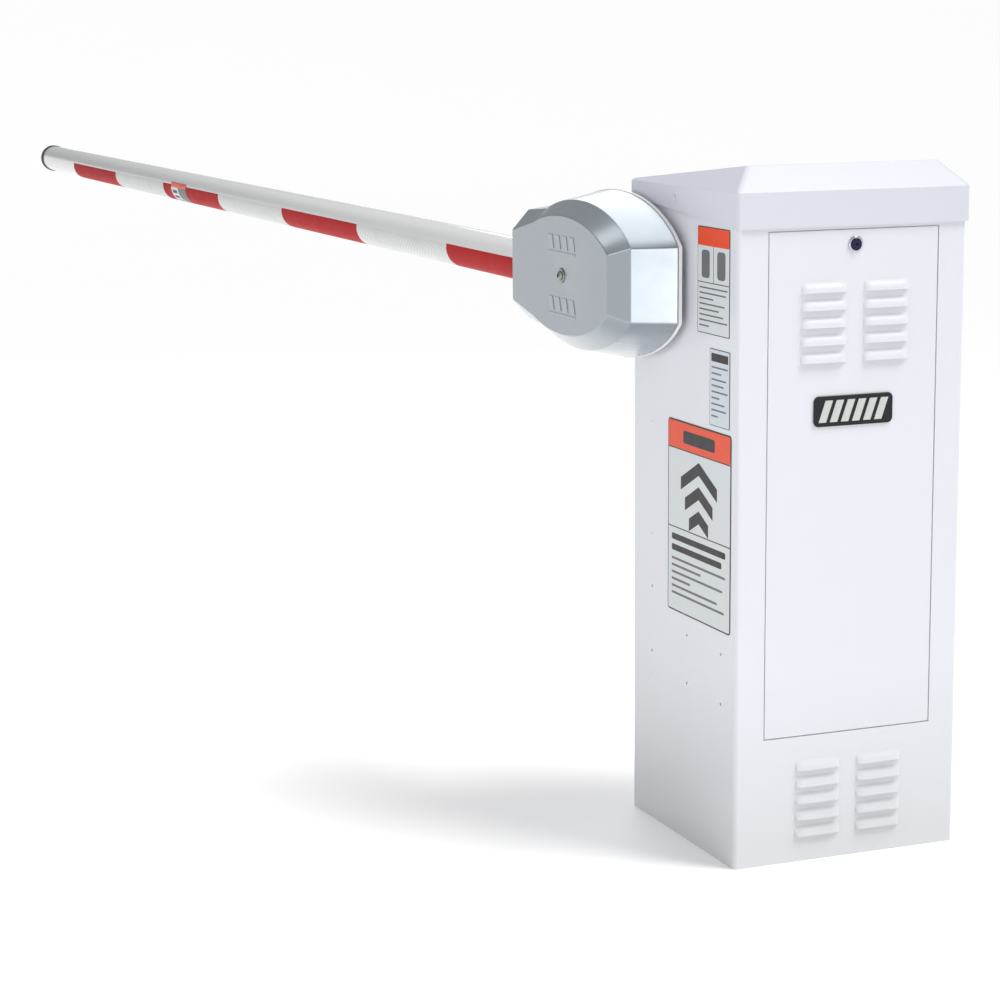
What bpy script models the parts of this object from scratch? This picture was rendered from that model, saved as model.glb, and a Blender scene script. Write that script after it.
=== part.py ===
"""Parking barrier gate: a sheet-metal operator cabinet with a round boom arm on its left side.

Metres, +Z up. The origin is the centre of the cabinet's footprint on the ground. The access door
faces -Y, the arm hub is on the -X side, and the closed arm lies level along +Y.
"""

from math import acos, asin, atan2, copysign, cos, pi, radians, sin, sqrt

import bmesh
import bpy
from mathutils import Vector

# ---------------------------------------------------------------- driving dimensions (metres)
GAP = 0.0003            # running and touching clearance between neighbouring solids

CAB_W = 0.366           # cabinet, left to right
CAB_D = 0.352           # cabinet, front to back
CAB_TOP = 0.979         # top edge of the shell, under the hood's slopes
CAB_WALL = 0.0025
CAB_BEND = 0.006        # outer radius of the vertical bends

HOOD_OVER = 0.004       # how far the hood's skirt stands out from the shell
HOOD_WALL = 0.002
HOOD_LOW_FRONT = 0.929  # the skirt's lower edge rises toward the back
HOOD_LOW_BACK = 0.956
HOOD_FOLD = 0.980
HOOD_TOP = 1.016        # front ridge; the roof falls from here to HOOD_BACK_TOP at the back
HOOD_BACK_TOP = 0.983
HOOD_INSET_X = 0.033    # from the skirt to the front ridge's ends
HOOD_INSET_Y = 0.036
HOOD_INSET_BACK = 0.004
HOOD_SCREW_Y = 0.0255
HOOD_SCREW_Z = 0.962
HOOD_SCREW_HOLE_R = 0.0026

DOOR_X = (-0.135, 0.1365)
DOOR_Z = (0.1905, 0.9236)
DOOR_WALL = 0.002
DOOR_SEAM = 0.0015      # dark gap round the door
FRAME_LAP = 0.0065      # how far the inner door frame shows inside the door's edge
FRAME_WIDE = 0.0220
FRAME_THICK = 0.0020
STIFFENER_DEEP = 0.0130
STIFFENER_WALL = 0.0015
STIFFENER_INSET = 0.0020        # from the frame's window to the stiffener
HOOK_X = 0.080          # the two hooks at the door's lower edge
HOOK_HALF = 0.012
HOOK_DROP = 0.007
PLATE_AT = (0.0015, 0.6655)     # nameplate's centre on the door
PLATE_HALF = (0.064, 0.022)
PLATE_CORNER = 0.008
PLATE_THICK = 0.0029

LOUVRE_X = (-0.0475, 0.053)     # centres of the two columns
LOUVRE_WIDE = 0.073
LOUVRE_HIGH = 0.0175
LOUVRE_OUT = 0.006
LOUVRE_PITCH = 0.025
LOUVRE_COUNT = 5
LOUVRE_SHEET = 0.0012
SLOT_END = 0.010                # from a louvre's end to the end of its air slot
SLOT_Z = (0.0015, 0.0100)       # air slot, above the louvre's open lower edge
DOOR_LOUVRE_Z = 0.836           # open lower edge of the top louvre on the door
SILL_LOUVRE_Z = 0.1383          # the same below the door

LOCK_X = 0.0016
LOCK_Z = 0.9027
LOCK_HOLE_R = 0.0096
LOCK_CAM_LONG = 0.020

LABEL_THICK = 0.0005
# name, front and back edge, lower and upper edge, corner radius
LABELS = (("upper_label", (-0.1500, -0.0475), (0.7740, 0.9270), 0.002),
          ("rating_label", (-0.1525, -0.0890), (0.6435, 0.7545), 0.002),
          ("safety_label", (-0.1590, 0.0495), (0.3455, 0.6360), 0.005))

# spare fixing holes in the left wall, as (y, z)
SPARE_HOLES = ((0.107, 0.367), (0.107, 0.266), (-0.016, 0.316), (-0.016, 0.2425),
               (-0.129, 0.312), (-0.129, 0.2375))
SPARE_HOLE_R = 0.0023

BASE_THICK = 0.006
CONDUIT_X = 0.075       # half width of the conduit opening
CONDUIT_Y = (-0.150, -0.060)
ANCHOR_X = 0.145
ANCHOR_Y = 0.140
ANCHOR_R = 0.0075

ARM_AXIS_Y = 0.125      # main shaft axis
ARM_AXIS_Z = 0.838
ARM_X = -0.239          # centre line of the arm tube
ARM_R = 0.0341
ARM_WALL = 0.0018
ARM_ROOT_Y = 0.040
ARM_LENGTH = 4.0
TAPE_FROM = radians(169.5)
TAPE_TO = radians(370.5)
TAPE_Y = (0.340, 3.624)

HUB_Y = 0.200           # centre of the cover's rounded body, and its screw
HUB_NOSE_Y = 0.400
HUB_PLATE_X = (-0.1985, -0.1935)
HUB_RIM_X = -0.2005
HUB_EDGE_X = -0.2637
HUB_FACE_X = -0.2916
HUB_WALL = 0.003
# half length, half height, flat's distance from the centre, half height of the nose's end
HUB_FACE = (0.193, 0.090, 0.169, 0.055)
HUB_EDGE = (0.217, 0.113, 0.1905, 0.086)
HUB_RIM = (0.240, 0.1255, 0.2155, 0.094)
HUB_PLATE = (0.2415, 0.127, 0.217, 0.0955)
NOSE_START = radians(55)        # where the round body ends and the nose starts
COVER_SCREW_HOLE_R = 0.0036

CLAMP_REAR_X = (-0.2335, HUB_PLATE_X[0] - GAP)
CLAMP_FRONT_X = (-0.2775, -0.2445)
CLAMP_Y = (0.075, 0.315)
CLAMP_HALF_Z = 0.060
CLAMP_BOLT_R = 0.0040
CLAMP_BOLT_HOLE_R = 0.0043
CLAMP_BOLTS = [(y, ARM_AXIS_Z + z) for y in (0.100, 0.290) for z in (-0.048, 0.048)]

SHAFT_R = 0.016
SHAFT_X = (-0.1979, 0.130)
SHAFT_HOLE_R = 0.0222   # in the cabinet's wall, round the bushing
BUSHING_R = 0.0280
BEARING_X = (-0.135, 0.110)
BEARING_FOOT = (0.015, 0.046, 0.012)    # half width, half length, height
BEARING_RING_R = 0.034
LEVER_X = (-0.060, -0.048)
LEVER_LONG = 0.070
LEVER_HUB_R = 0.028
LEVER_EYE_R = 0.015
LEVER_REST = radians(135)       # lever and crank point forward and up when the arm is closed
ROD_X = (-0.0745, -0.0625)
ROD_HEX_R = 0.0080      # corner radius of the hexagonal rod, clear of the lever beside it
ROD_GRIP = 0.045        # from a rod end's eye to the rod
ROD_BORE = 0.032        # how far a rod end's shank reaches into the rod
ROD_SHANK_R = 0.0055
ROD_EYE_R = 0.0165
PIN_R = 0.006
PIN_X = (-0.0445, -0.0750)
PIN_HEAD_R = 0.0095
PIN_HEAD_THICK = 0.0035

REDUCER_Y = 0.085       # gear reducer's output axis
REDUCER_Z = 0.345
OUTPUT_R = 0.015
OUTPUT_X = (-0.0110, -0.0620)
CASE_X = (-0.035, 0.085)
CASE_Y = (0.033, 0.145)
CASE_TOP = 0.415
WORM_X = 0.030          # input axis, along Y
WORM_Z = 0.300
WORM_R = 0.010
MOTOR_Z = 0.120
MOTOR_R = 0.062
MOTOR_Y = (0.000, 0.150)
MOTOR_SHAFT_R = 0.008
PULLEY_Y = (-0.036, -0.018)
BELT_RATIO = 2.0        # turns of the motor for one turn of the worm shaft
BELT_PITCH_R = 0.02275  # middle of the belt round the motor's pulley
BELT_THICK = 0.0075
BELT_SEAT = 0.0005      # running gap between the belt and the groove's floor
GROOVE = 0.009          # depth of a pulley's groove

SHELF_Z = (0.784, 0.789)
PLATFORM_Z = (0.2618, 0.2668)
POST_X = (0.147, 0.172)
POST_Y = ((0.040, 0.065), (0.145, 0.170))
POST_WALL = 0.003
RAIL_THICK = 0.003
LEDGE = 0.020           # how far a rail reaches in past its posts

CAM_X = (0.045, 0.060)
CAM_R = 0.024
CAM_LOBE_R = 0.030
CAM_THICK = 0.010

PANEL_Y = (-0.130, 0.030)
PANEL_Z = (0.420, 0.740)
PANEL_THICK = 0.002
BOARD_X = 0.160
BOARD_THICK = 0.0016
BOARD_Y = (-0.120, 0.020)
BOARD_Z = (0.560, 0.720)
SWITCH_X = 0.1525
TOGGLE_TILT = radians(-102)     # the toggle leans down from level when it is off

# ---------------------------------------------------------------- scene and materials
for old in list(bpy.data.objects):
    bpy.data.objects.remove(old, do_unlink=True)

PARTS = bpy.data.collections.new("parking_barrier_gate")
CUTTERS = bpy.data.collections.new("cutters")
bpy.context.scene.collection.children.link(PARTS)
bpy.context.scene.collection.children.link(CUTTERS)


def material(name, colour, roughness, metallic):
    mat = bpy.data.materials.new(name)
    mat.use_nodes = True
    shader = mat.node_tree.nodes["Principled BSDF"]
    shader.inputs["Base Color"].default_value = (*colour, 1.0)
    shader.inputs["Roughness"].default_value = roughness
    shader.inputs["Metallic"].default_value = metallic
    return mat


WHITE = material("white_powder_coat", (0.86, 0.87, 0.89), 0.28, 0.0)
SILVER = material("silver_hub_paint", (0.58, 0.60, 0.63), 0.38, 0.2)
ARM_WHITE = material("arm_white", (0.85, 0.85, 0.84), 0.32, 0.0)
TAPE = material("reflective_tape", (0.72, 0.08, 0.08), 0.35, 0.0)
STEEL = material("zinc_plated_steel", (0.62, 0.62, 0.60), 0.38, 1.0)
CAST = material("cast_aluminium", (0.62, 0.63, 0.64), 0.48, 0.9)
CHROME = material("chrome", (0.80, 0.80, 0.82), 0.12, 1.0)
IRON = material("painted_cast_iron", (0.10, 0.16, 0.22), 0.45, 0.1)
MOTOR_GREY = material("motor_grey", (0.20, 0.21, 0.22), 0.45, 0.2)
RUBBER = material("black_rubber", (0.03, 0.03, 0.025), 0.65, 0.0)
LABEL = material("label_vinyl", (0.88, 0.88, 0.86), 0.35, 0.0)
PLATE_DARK = material("nameplate_dark", (0.05, 0.05, 0.055), 0.35, 0.1)
PLASTIC = material("black_plastic", (0.04, 0.04, 0.045), 0.45, 0.0)
BOARD = material("circuit_board_green", (0.05, 0.22, 0.10), 0.50, 0.0)


def axis_empty(name, place):
    empty = bpy.data.objects.new(name, None)
    empty.empty_display_size = 0.05
    empty.location = place
    PARTS.objects.link(empty)
    return empty


ARM_PIVOT = axis_empty("arm_axis", (0, ARM_AXIS_Y, ARM_AXIS_Z))
ROD_PIVOT = axis_empty("rod_axis", (0, ARM_AXIS_Y + LEVER_LONG * cos(LEVER_REST),
                                    ARM_AXIS_Z + LEVER_LONG * sin(LEVER_REST)))
CRANK_PIVOT = axis_empty("crank_axis", (0, REDUCER_Y, REDUCER_Z))
WORM_PIVOT = axis_empty("worm_axis", (WORM_X, 0, WORM_Z))
MOTOR_PIVOT = axis_empty("motor_axis", (WORM_X, 0, MOTOR_Z))
DOOR_PIVOT = axis_empty("door_axis", (0, -CAB_D / 2 - 0.0005, DOOR_Z[0] - 0.0005))
LOCK_PIVOT = axis_empty("lock_axis", (LOCK_X, 0, LOCK_Z))
TOGGLE_PIVOT = axis_empty("toggle_axis", (0.1478, -0.085, 0.485))


# ---------------------------------------------------------------- building blocks
TURN_X = (0, radians(90), 0)      # local +Z becomes +X
TURN_Y = (radians(-90), 0, 0)     # local +Z becomes +Y
NO_TURN = (0, 0, 0)


def add(name, mesh, mat, centre, turn=NO_TURN, parent=None, smooth=False):
    """Puts a mesh in the scene at a world position, under the empty it turns about."""
    obj = bpy.data.objects.new(name, mesh)
    PARTS.objects.link(obj)
    obj.parent = parent
    obj.location = Vector(centre) - (parent.location if parent else Vector())
    obj.rotation_euler = turn
    if mat:
        mesh.materials.append(mat)
    if smooth:
        mesh.shade_smooth()
        mesh.set_sharp_from_angle(angle=radians(35))
    return obj


def block(name, lo, hi, mat=None, parent=None, bevel=0.0, upright_only=False, segments=3):
    """A box between two corners, with its edges (or only its upright ones) rounded."""
    bm = bmesh.new()
    bmesh.ops.create_cube(bm, size=1.0)
    size = Vector(hi) - Vector(lo)
    bmesh.ops.scale(bm, vec=size, verts=bm.verts)
    if bevel:
        edges = [e for e in bm.edges
                 if not upright_only or abs(e.verts[0].co.z - e.verts[1].co.z) > size.z / 2]
        bmesh.ops.bevel(bm, geom=edges, offset=bevel, segments=segments, profile=0.5, affect="EDGES")
    mesh = bpy.data.meshes.new(name)
    bm.to_mesh(mesh)
    bm.free()
    return add(name, mesh, mat, (Vector(lo) + Vector(hi)) / 2, parent=parent)


def round_bar(name, start, end, radius, turn, mat=None, parent=None, sides=24):
    """A cylinder between two points that lie along the axis that turn sets."""
    bm = bmesh.new()
    long = (Vector(end) - Vector(start)).length
    bmesh.ops.create_cone(bm, cap_ends=True, segments=sides, radius1=radius, radius2=radius, depth=long)
    mesh = bpy.data.meshes.new(name)
    bm.to_mesh(mesh)
    bm.free()
    return add(name, mesh, mat, (Vector(start) + Vector(end)) / 2, turn, parent, smooth=True)


def turned(name, profile, centre, turn, mat, parent=None, ring=False, steps=32):
    """A lathe part: (radius, height) points down the outer side, swept round local Z."""
    mesh = bpy.data.meshes.new(name)
    count = len(profile)
    edges = [(i, i + 1) for i in range(count - 1)]
    if ring:
        edges.append((count - 1, 0))
    mesh.from_pydata([(r, 0, z) for r, z in profile], edges, [])
    obj = add(name, mesh, mat, centre, turn, parent)
    screw = obj.modifiers.new("turn", "SCREW")
    screw.axis = "Z"
    screw.angle = 2 * pi
    screw.steps = steps
    screw.render_steps = steps
    screw.use_merge_vertices = True
    screw.merge_threshold = 0.00001
    screw.use_smooth_shade = False
    return obj


def outline_plate(name, loops, thick, centre, turn, mat=None, parent=None):
    """A flat part from closed 2D loops (later loops are holes), thick along local Z."""
    curve = bpy.data.curves.new(name, "CURVE")
    curve.dimensions = "2D"
    curve.fill_mode = "BOTH"
    curve.extrude = thick / 2
    for loop in loops:
        spline = curve.splines.new("POLY")
        spline.points.add(len(loop) - 1)
        for point, (u, v) in zip(spline.points, loop):
            point.co = (u, v, 0, 1)
        spline.use_cyclic_u = True
    guide = bpy.data.objects.new(name + "_outline", curve)
    CUTTERS.objects.link(guide)
    shape = guide.evaluated_get(bpy.context.evaluated_depsgraph_get())
    mesh = bpy.data.meshes.new_from_object(shape)
    bpy.data.objects.remove(guide, do_unlink=True)
    bm = bmesh.new()
    bm.from_mesh(mesh)
    bmesh.ops.remove_doubles(bm, verts=bm.verts, dist=0.000005)
    bm.to_mesh(mesh)
    bm.free()
    mesh.name = name
    mesh.materials.clear()
    return add(name, mesh, mat, centre, turn, parent, smooth=True)


def loft(name, sections, mat=None, parent=None, centre=(0, 0, 0)):
    """A closed solid through sections of equal point count, each a loop of 3D points."""
    bm = bmesh.new()
    rings = [[bm.verts.new(Vector(p) - Vector(centre)) for p in loop] for loop in sections]
    count = len(rings[0])
    for low, high in zip(rings, rings[1:]):
        for i in range(count):
            j = (i + 1) % count
            bm.faces.new((low[i], low[j], high[j], high[i]))
    bm.faces.new(list(reversed(rings[0])))
    bm.faces.new(rings[-1])
    bmesh.ops.recalc_face_normals(bm, faces=bm.faces)
    mesh = bpy.data.meshes.new(name)
    bm.to_mesh(mesh)
    bm.free()
    return add(name, mesh, mat, centre, parent=parent, smooth=True)


def combine(obj, tools, operation):
    """Booleans each tool onto the object; the tools move to the cutters collection."""
    for tool in tools:
        PARTS.objects.unlink(tool)
        CUTTERS.objects.link(tool)
        tool.hide_render = True
        tool.display_type = "WIRE"
        step = obj.modifiers.new(tool.name, "BOOLEAN")
        step.operation = operation
        step.solver = "EXACT"
        step.object = tool


def cut(obj, *tools):
    combine(obj, tools, "DIFFERENCE")


def weld(obj, *tools):
    combine(obj, tools, "UNION")


def circle(radius, count, centre=(0, 0)):
    return [(centre[0] + radius * cos(2 * pi * i / count), centre[1] + radius * sin(2 * pi * i / count))
            for i in range(count)]


def link_outline(radius_a, radius_b, length, steps=12):
    """The outline of a lever: two round ends joined by their common tangents, along +u."""
    lean = asin((radius_a - radius_b) / length)
    points = []
    for i in range(steps + 1):
        a = pi / 2 - lean + (pi + 2 * lean) * i / steps
        points.append((radius_a * cos(a), radius_a * sin(a)))
    for i in range(steps + 1):
        a = -pi / 2 + lean + (pi - 2 * lean) * i / steps
        points.append((length + radius_b * cos(a), radius_b * sin(a)))
    return points


def round_rect(half_u, half_v, radius, steps=3):
    """A rectangle's loop with round corners."""
    points = []
    for k, (su, sv) in enumerate(((1, 1), (-1, 1), (-1, -1), (1, -1))):
        for i in range(steps + 1):
            a = pi / 2 * (k + i / steps)
            points.append((su * (half_u - radius) + radius * cos(a),
                           sv * (half_v - radius) + radius * sin(a)))
    return points


# ---------------------------------------------------------------- cabinet
def louvre(name, mid_x, low_z, face_y, parent=None):
    """One pressed louvre: a bulge that is open along its lower edge and fades at both ends."""
    across, rise = 10, 3
    sink = 0.0012
    bm = bmesh.new()
    grid = []
    for j in range(rise + 1):
        v = j / rise
        row = []
        for i in range(across + 1):
            u = -cos(pi * i / across)
            swell = sqrt(max(0.0, 1 - u ** 4)) * cos(v * pi / 2)
            out = (LOUVRE_OUT + sink) * swell - sink
            row.append(bm.verts.new((u * LOUVRE_WIDE / 2, -out, v * LOUVRE_HIGH)))
        grid.append(row)
    for low, high in zip(grid, grid[1:]):
        for i in range(across):
            bm.faces.new((low[i], low[i + 1], high[i + 1], high[i]))
    mesh = bpy.data.meshes.new(name)
    bm.to_mesh(mesh)
    bm.free()
    obj = add(name, mesh, None, (mid_x, face_y, low_z), parent=parent, smooth=True)
    skin = obj.modifiers.new("sheet", "SOLIDIFY")
    skin.thickness = LOUVRE_SHEET
    skin.offset = 0
    return obj


def add_louvres(sheet, top_z, face_y, wall, parent=None):
    """Cuts the air slots through a sheet and welds the pressed louvres over them."""
    hoods = []
    for column, mid_x in enumerate(LOUVRE_X):
        for row in range(LOUVRE_COUNT):
            low_z = top_z - row * LOUVRE_PITCH
            tag = f"{sheet.name}_{column}_{row}"
            half = LOUVRE_WIDE / 2 - SLOT_END
            cut(sheet, block("slot_" + tag, (mid_x - half, face_y - 0.002, low_z + SLOT_Z[0]),
                             (mid_x + half, face_y + wall + 0.002, low_z + SLOT_Z[1]), parent=parent))
            hoods.append(louvre("hood_" + tag, mid_x, low_z, face_y, parent))
    weld(sheet, *hoods)


def cabinet_shell():
    """The wrapped sheet-metal body, with the door opening, air slots and shaft hole."""
    w, d, t = CAB_W / 2, CAB_D / 2, CAB_WALL
    shell = block("cabinet_shell", (-w, -d, 0), (w, d, CAB_TOP), WHITE,
                  bevel=CAB_BEND, upright_only=True)
    cut(shell, block("shell_inside", (-w + t, -d + t, -0.02), (w - t, d - t, CAB_TOP + 0.02),
                     bevel=CAB_BEND - t, upright_only=True))
    cut(shell, block("shell_doorway", (DOOR_X[0] - DOOR_SEAM, -d - 0.02, DOOR_Z[0] - DOOR_SEAM),
                     (DOOR_X[1] + DOOR_SEAM, -d + 0.02, DOOR_Z[1] + DOOR_SEAM)))
    add_louvres(shell, SILL_LOUVRE_Z, -d, t)
    cut(shell, round_bar("shell_shaft_hole", (-w - 0.01, ARM_AXIS_Y, ARM_AXIS_Z),
                         (-w + 0.02, ARM_AXIS_Y, ARM_AXIS_Z), SHAFT_HOLE_R, TURN_X))
    for i, (y, z) in enumerate(SPARE_HOLES):
        cut(shell, round_bar(f"shell_hole_{i}", (-w - 0.01, y, z), (-w + 0.01, y, z),
                             SPARE_HOLE_R, TURN_X, sides=8))
    for side in (-1, 1):
        cut(shell, round_bar(f"shell_screw_hole_{side}", (side * w - 0.01, HOOD_SCREW_Y, HOOD_SCREW_Z),
                             (side * w + 0.01, HOOD_SCREW_Y, HOOD_SCREW_Z), HOOD_SCREW_HOLE_R, TURN_X,
                             sides=12))


def base_plate():
    """Floor plate with four anchor holes and the conduit opening near the door."""
    w, d = CAB_W / 2 - CAB_WALL - GAP, CAB_D / 2 - CAB_WALL - GAP
    plate = block("base_plate", (-w, -d, 0), (w, d, BASE_THICK), STEEL, bevel=0.004, upright_only=True,
                  segments=2)
    cut(plate, block("conduit_cut", (-CONDUIT_X, CONDUIT_Y[0], -0.01), (CONDUIT_X, CONDUIT_Y[1], 0.02)))
    for x in (-ANCHOR_X, ANCHOR_X):
        for y in (-ANCHOR_Y, ANCHOR_Y):
            cut(plate, round_bar(f"anchor_cut_{x}_{y}", (x, y, -0.01), (x, y, 0.02), ANCHOR_R, NO_TURN,
                                 sides=16))


def hood_skirt(inset, z_front, z_back):
    """One level of the skirt: a round-cornered rectangle that may tilt from front to back."""
    half_x = CAB_W / 2 + HOOD_OVER - inset
    half_y = CAB_D / 2 + HOOD_OVER - inset
    loop = round_rect(half_x, half_y, CAB_BEND)
    return [(x, y, z_front + (z_back - z_front) * (y + half_y) / (2 * half_y)) for x, y in loop]


def hood_roof(inset, drop):
    """The roof's edge: drawn in at the front ridge, and down near the skirt at the back."""
    half_x = CAB_W / 2 + HOOD_OVER - inset
    half_y = CAB_D / 2 + HOOD_OVER - inset
    front, back = HOOD_INSET_Y - half_y, half_y - HOOD_INSET_BACK
    loop = []
    for x, y in round_rect(half_x, half_y, CAB_BEND):
        share = (y + half_y) / (2 * half_y)
        inward = HOOD_INSET_X + (HOOD_INSET_BACK - HOOD_INSET_X) * share
        y += HOOD_INSET_Y if y < 0 else -HOOD_INSET_BACK
        fall = (HOOD_TOP - HOOD_BACK_TOP) * (y - front) / (back - front)
        loop.append((x - copysign(inward, x), y, HOOD_TOP - drop - fall))
    return loop


def hood():
    """Sheet-metal cap whose roof falls from a front ridge to the back; its skirt is deeper at the front."""
    t = HOOD_WALL
    cap = loft("hood", [hood_skirt(0, HOOD_LOW_FRONT, HOOD_LOW_BACK), hood_skirt(0, HOOD_FOLD, HOOD_FOLD),
                        hood_roof(0, 0)], WHITE)
    cut(cap, loft("hood_inside", [hood_skirt(t, HOOD_LOW_FRONT - 0.05, HOOD_LOW_BACK - 0.05),
                                  hood_skirt(t, HOOD_FOLD - 0.001, HOOD_FOLD - 0.001),
                                  hood_roof(t * 0.6, t)]))
    outer = CAB_W / 2 + HOOD_OVER
    for side, name in ((-1, "hood_screw_left"), (1, "hood_screw_right")):
        cut(cap, round_bar(name + "_cut", (side * outer - 0.006, HOOD_SCREW_Y, HOOD_SCREW_Z),
                           (side * outer + 0.006, HOOD_SCREW_Y, HOOD_SCREW_Z), HOOD_SCREW_HOLE_R, TURN_X,
                           sides=12))
        turned(name, [(0, 0.0025), (0.0028, 0.0022), (0.0042, 0.0010), (0.0042, GAP),
                      (0.0022, GAP), (0.0022, -0.012), (0, -0.012)],
               (side * outer, HOOD_SCREW_Y, HOOD_SCREW_Z), (0, side * radians(90), 0), STEEL, steps=16)


def door():
    """Lift-off access door: louvred sheet, stiffener with bottom hooks, inner frame and nameplate."""
    face = -CAB_D / 2
    sheet = block("access_door", (DOOR_X[0], face, DOOR_Z[0]), (DOOR_X[1], face + DOOR_WALL, DOOR_Z[1]),
                  WHITE, DOOR_PIVOT)
    add_louvres(sheet, DOOR_LOUVRE_Z, face, DOOR_WALL, DOOR_PIVOT)
    cut(sheet, round_bar("door_lock_hole", (LOCK_X, face - 0.01, LOCK_Z), (LOCK_X, face + 0.01, LOCK_Z),
                         LOCK_HOLE_R, TURN_Y, parent=DOOR_PIVOT))

    edge_x = (DOOR_X[0] + FRAME_LAP, DOOR_X[1] - FRAME_LAP)
    edge_z = (DOOR_Z[0] + FRAME_LAP, DOOR_Z[1] - FRAME_LAP)
    front = face + CAB_WALL + GAP
    frame = block("door_frame", (edge_x[0] - FRAME_WIDE, front, edge_z[0] - FRAME_WIDE),
                  (edge_x[1] + FRAME_WIDE, front + FRAME_THICK, edge_z[1] + FRAME_WIDE), WHITE)
    cut(frame, block("door_frame_window", (edge_x[0], front - 0.01, edge_z[0]),
                     (edge_x[1], front + 0.01, edge_z[1])))

    top_z = LOCK_Z - 0.020
    back = face + DOOR_WALL + GAP
    inset = STIFFENER_INSET
    ring = block("door_stiffener", (edge_x[0] + inset, back, edge_z[0] + inset),
                 (edge_x[1] - inset, back + STIFFENER_DEEP, top_z), STEEL, DOOR_PIVOT)
    inset += STIFFENER_WALL
    cut(ring, block("stiffener_window", (edge_x[0] + inset, back - 0.01, edge_z[0] + inset),
                    (edge_x[1] - inset, back + 0.03, top_z - STIFFENER_WALL), parent=DOOR_PIVOT))
    hook = back + STIFFENER_DEEP - 0.0020
    for i, x in enumerate((-HOOK_X, HOOK_X)):
        weld(ring, block(f"door_hook_{i}", (x - HOOK_HALF, hook - STIFFENER_WALL, DOOR_Z[0] - HOOK_DROP),
                         (x + HOOK_HALF, hook, edge_z[0] + 0.0030), parent=DOOR_PIVOT))

    outline_plate("door_nameplate", [round_rect(*PLATE_HALF, PLATE_CORNER, 4)], PLATE_THICK,
                  (PLATE_AT[0], face - GAP - PLATE_THICK / 2, PLATE_AT[1]), (radians(90), 0, 0),
                  PLATE_DARK, DOOR_PIVOT)


def door_lock():
    """Quarter-turn cam lock at the middle of the door's top edge, stored unlocked."""
    face = -CAB_D / 2
    mid = (LOCK_X, face, LOCK_Z)
    turned("lock_housing", [(0.0065, 0.0072), (0.0093, 0.0072), (0.0093, -GAP), (0.0115, -GAP),
                            (0.0115, -0.0015), (0.0100, -0.0027), (0.0065, -0.0027)],
           mid, TURN_Y, CHROME, DOOR_PIVOT, ring=True, steps=28)
    plug = turned("lock_plug", [(0, 0.0105), (0.0038, 0.0105), (0.0038, 0.0078), (0.0062, 0.0078),
                                (0.0062, -0.0031), (0, -0.0031)], mid, TURN_Y, CHROME, LOCK_PIVOT, steps=24)
    cut(plug, block("key_slot", (LOCK_X - 0.0036, face - 0.006, LOCK_Z - 0.0007),
                    (LOCK_X + 0.0036, face + 0.003, LOCK_Z + 0.0007), parent=LOCK_PIVOT))
    outline_plate("lock_cam", [link_outline(0.0080, 0.0055, LOCK_CAM_LONG, 8), circle(0.0041, 12)], 0.0018,
                  (LOCK_X, face + 0.0090, LOCK_Z), (radians(90), 0, 0), STEEL, LOCK_PIVOT)
    outline_plate("lock_nut", [circle(0.0125, 6), circle(LOCK_HOLE_R, 18)], 0.0030,
                  (LOCK_X, face + 0.0042, LOCK_Z), (radians(90), 0, 0), STEEL, DOOR_PIVOT)


def side_labels():
    """Blank vinyl labels on the cabinet's left side."""
    x = -CAB_W / 2 - GAP - LABEL_THICK / 2
    for name, (y0, y1), (z0, z1), corner in LABELS:
        outline_plate(name, [round_rect((z1 - z0) / 2, (y1 - y0) / 2, corner, 2)], LABEL_THICK,
                      (x, (y0 + y1) / 2, (z0 + z1) / 2), TURN_X, LABEL)


# ---------------------------------------------------------------- hub and arm
def hub_outline(shape, grow=0.0):
    """The hub's side outline in (y, z): an oval cut flat at the back, with a tapering nose."""
    half_long, half_high, flat, nose = (value + grow for value in shape)
    nose_y = HUB_NOSE_Y + grow - HUB_Y
    last = pi - acos(flat / half_long)
    steps = 14
    upper = [(nose_y, nose)]
    for i in range(steps + 1):
        a = NOSE_START + (last - NOSE_START) * i / steps
        upper.append((half_long * cos(a), half_high * sin(a)))
    lower = [(y, -z) for y, z in reversed(upper)]
    return [(HUB_Y + y, ARM_AXIS_Z + z) for y, z in upper + lower]


def hub_section(x, shape, grow=0.0):
    return [(x, y, z) for y, z in hub_outline(shape, grow)]


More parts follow.
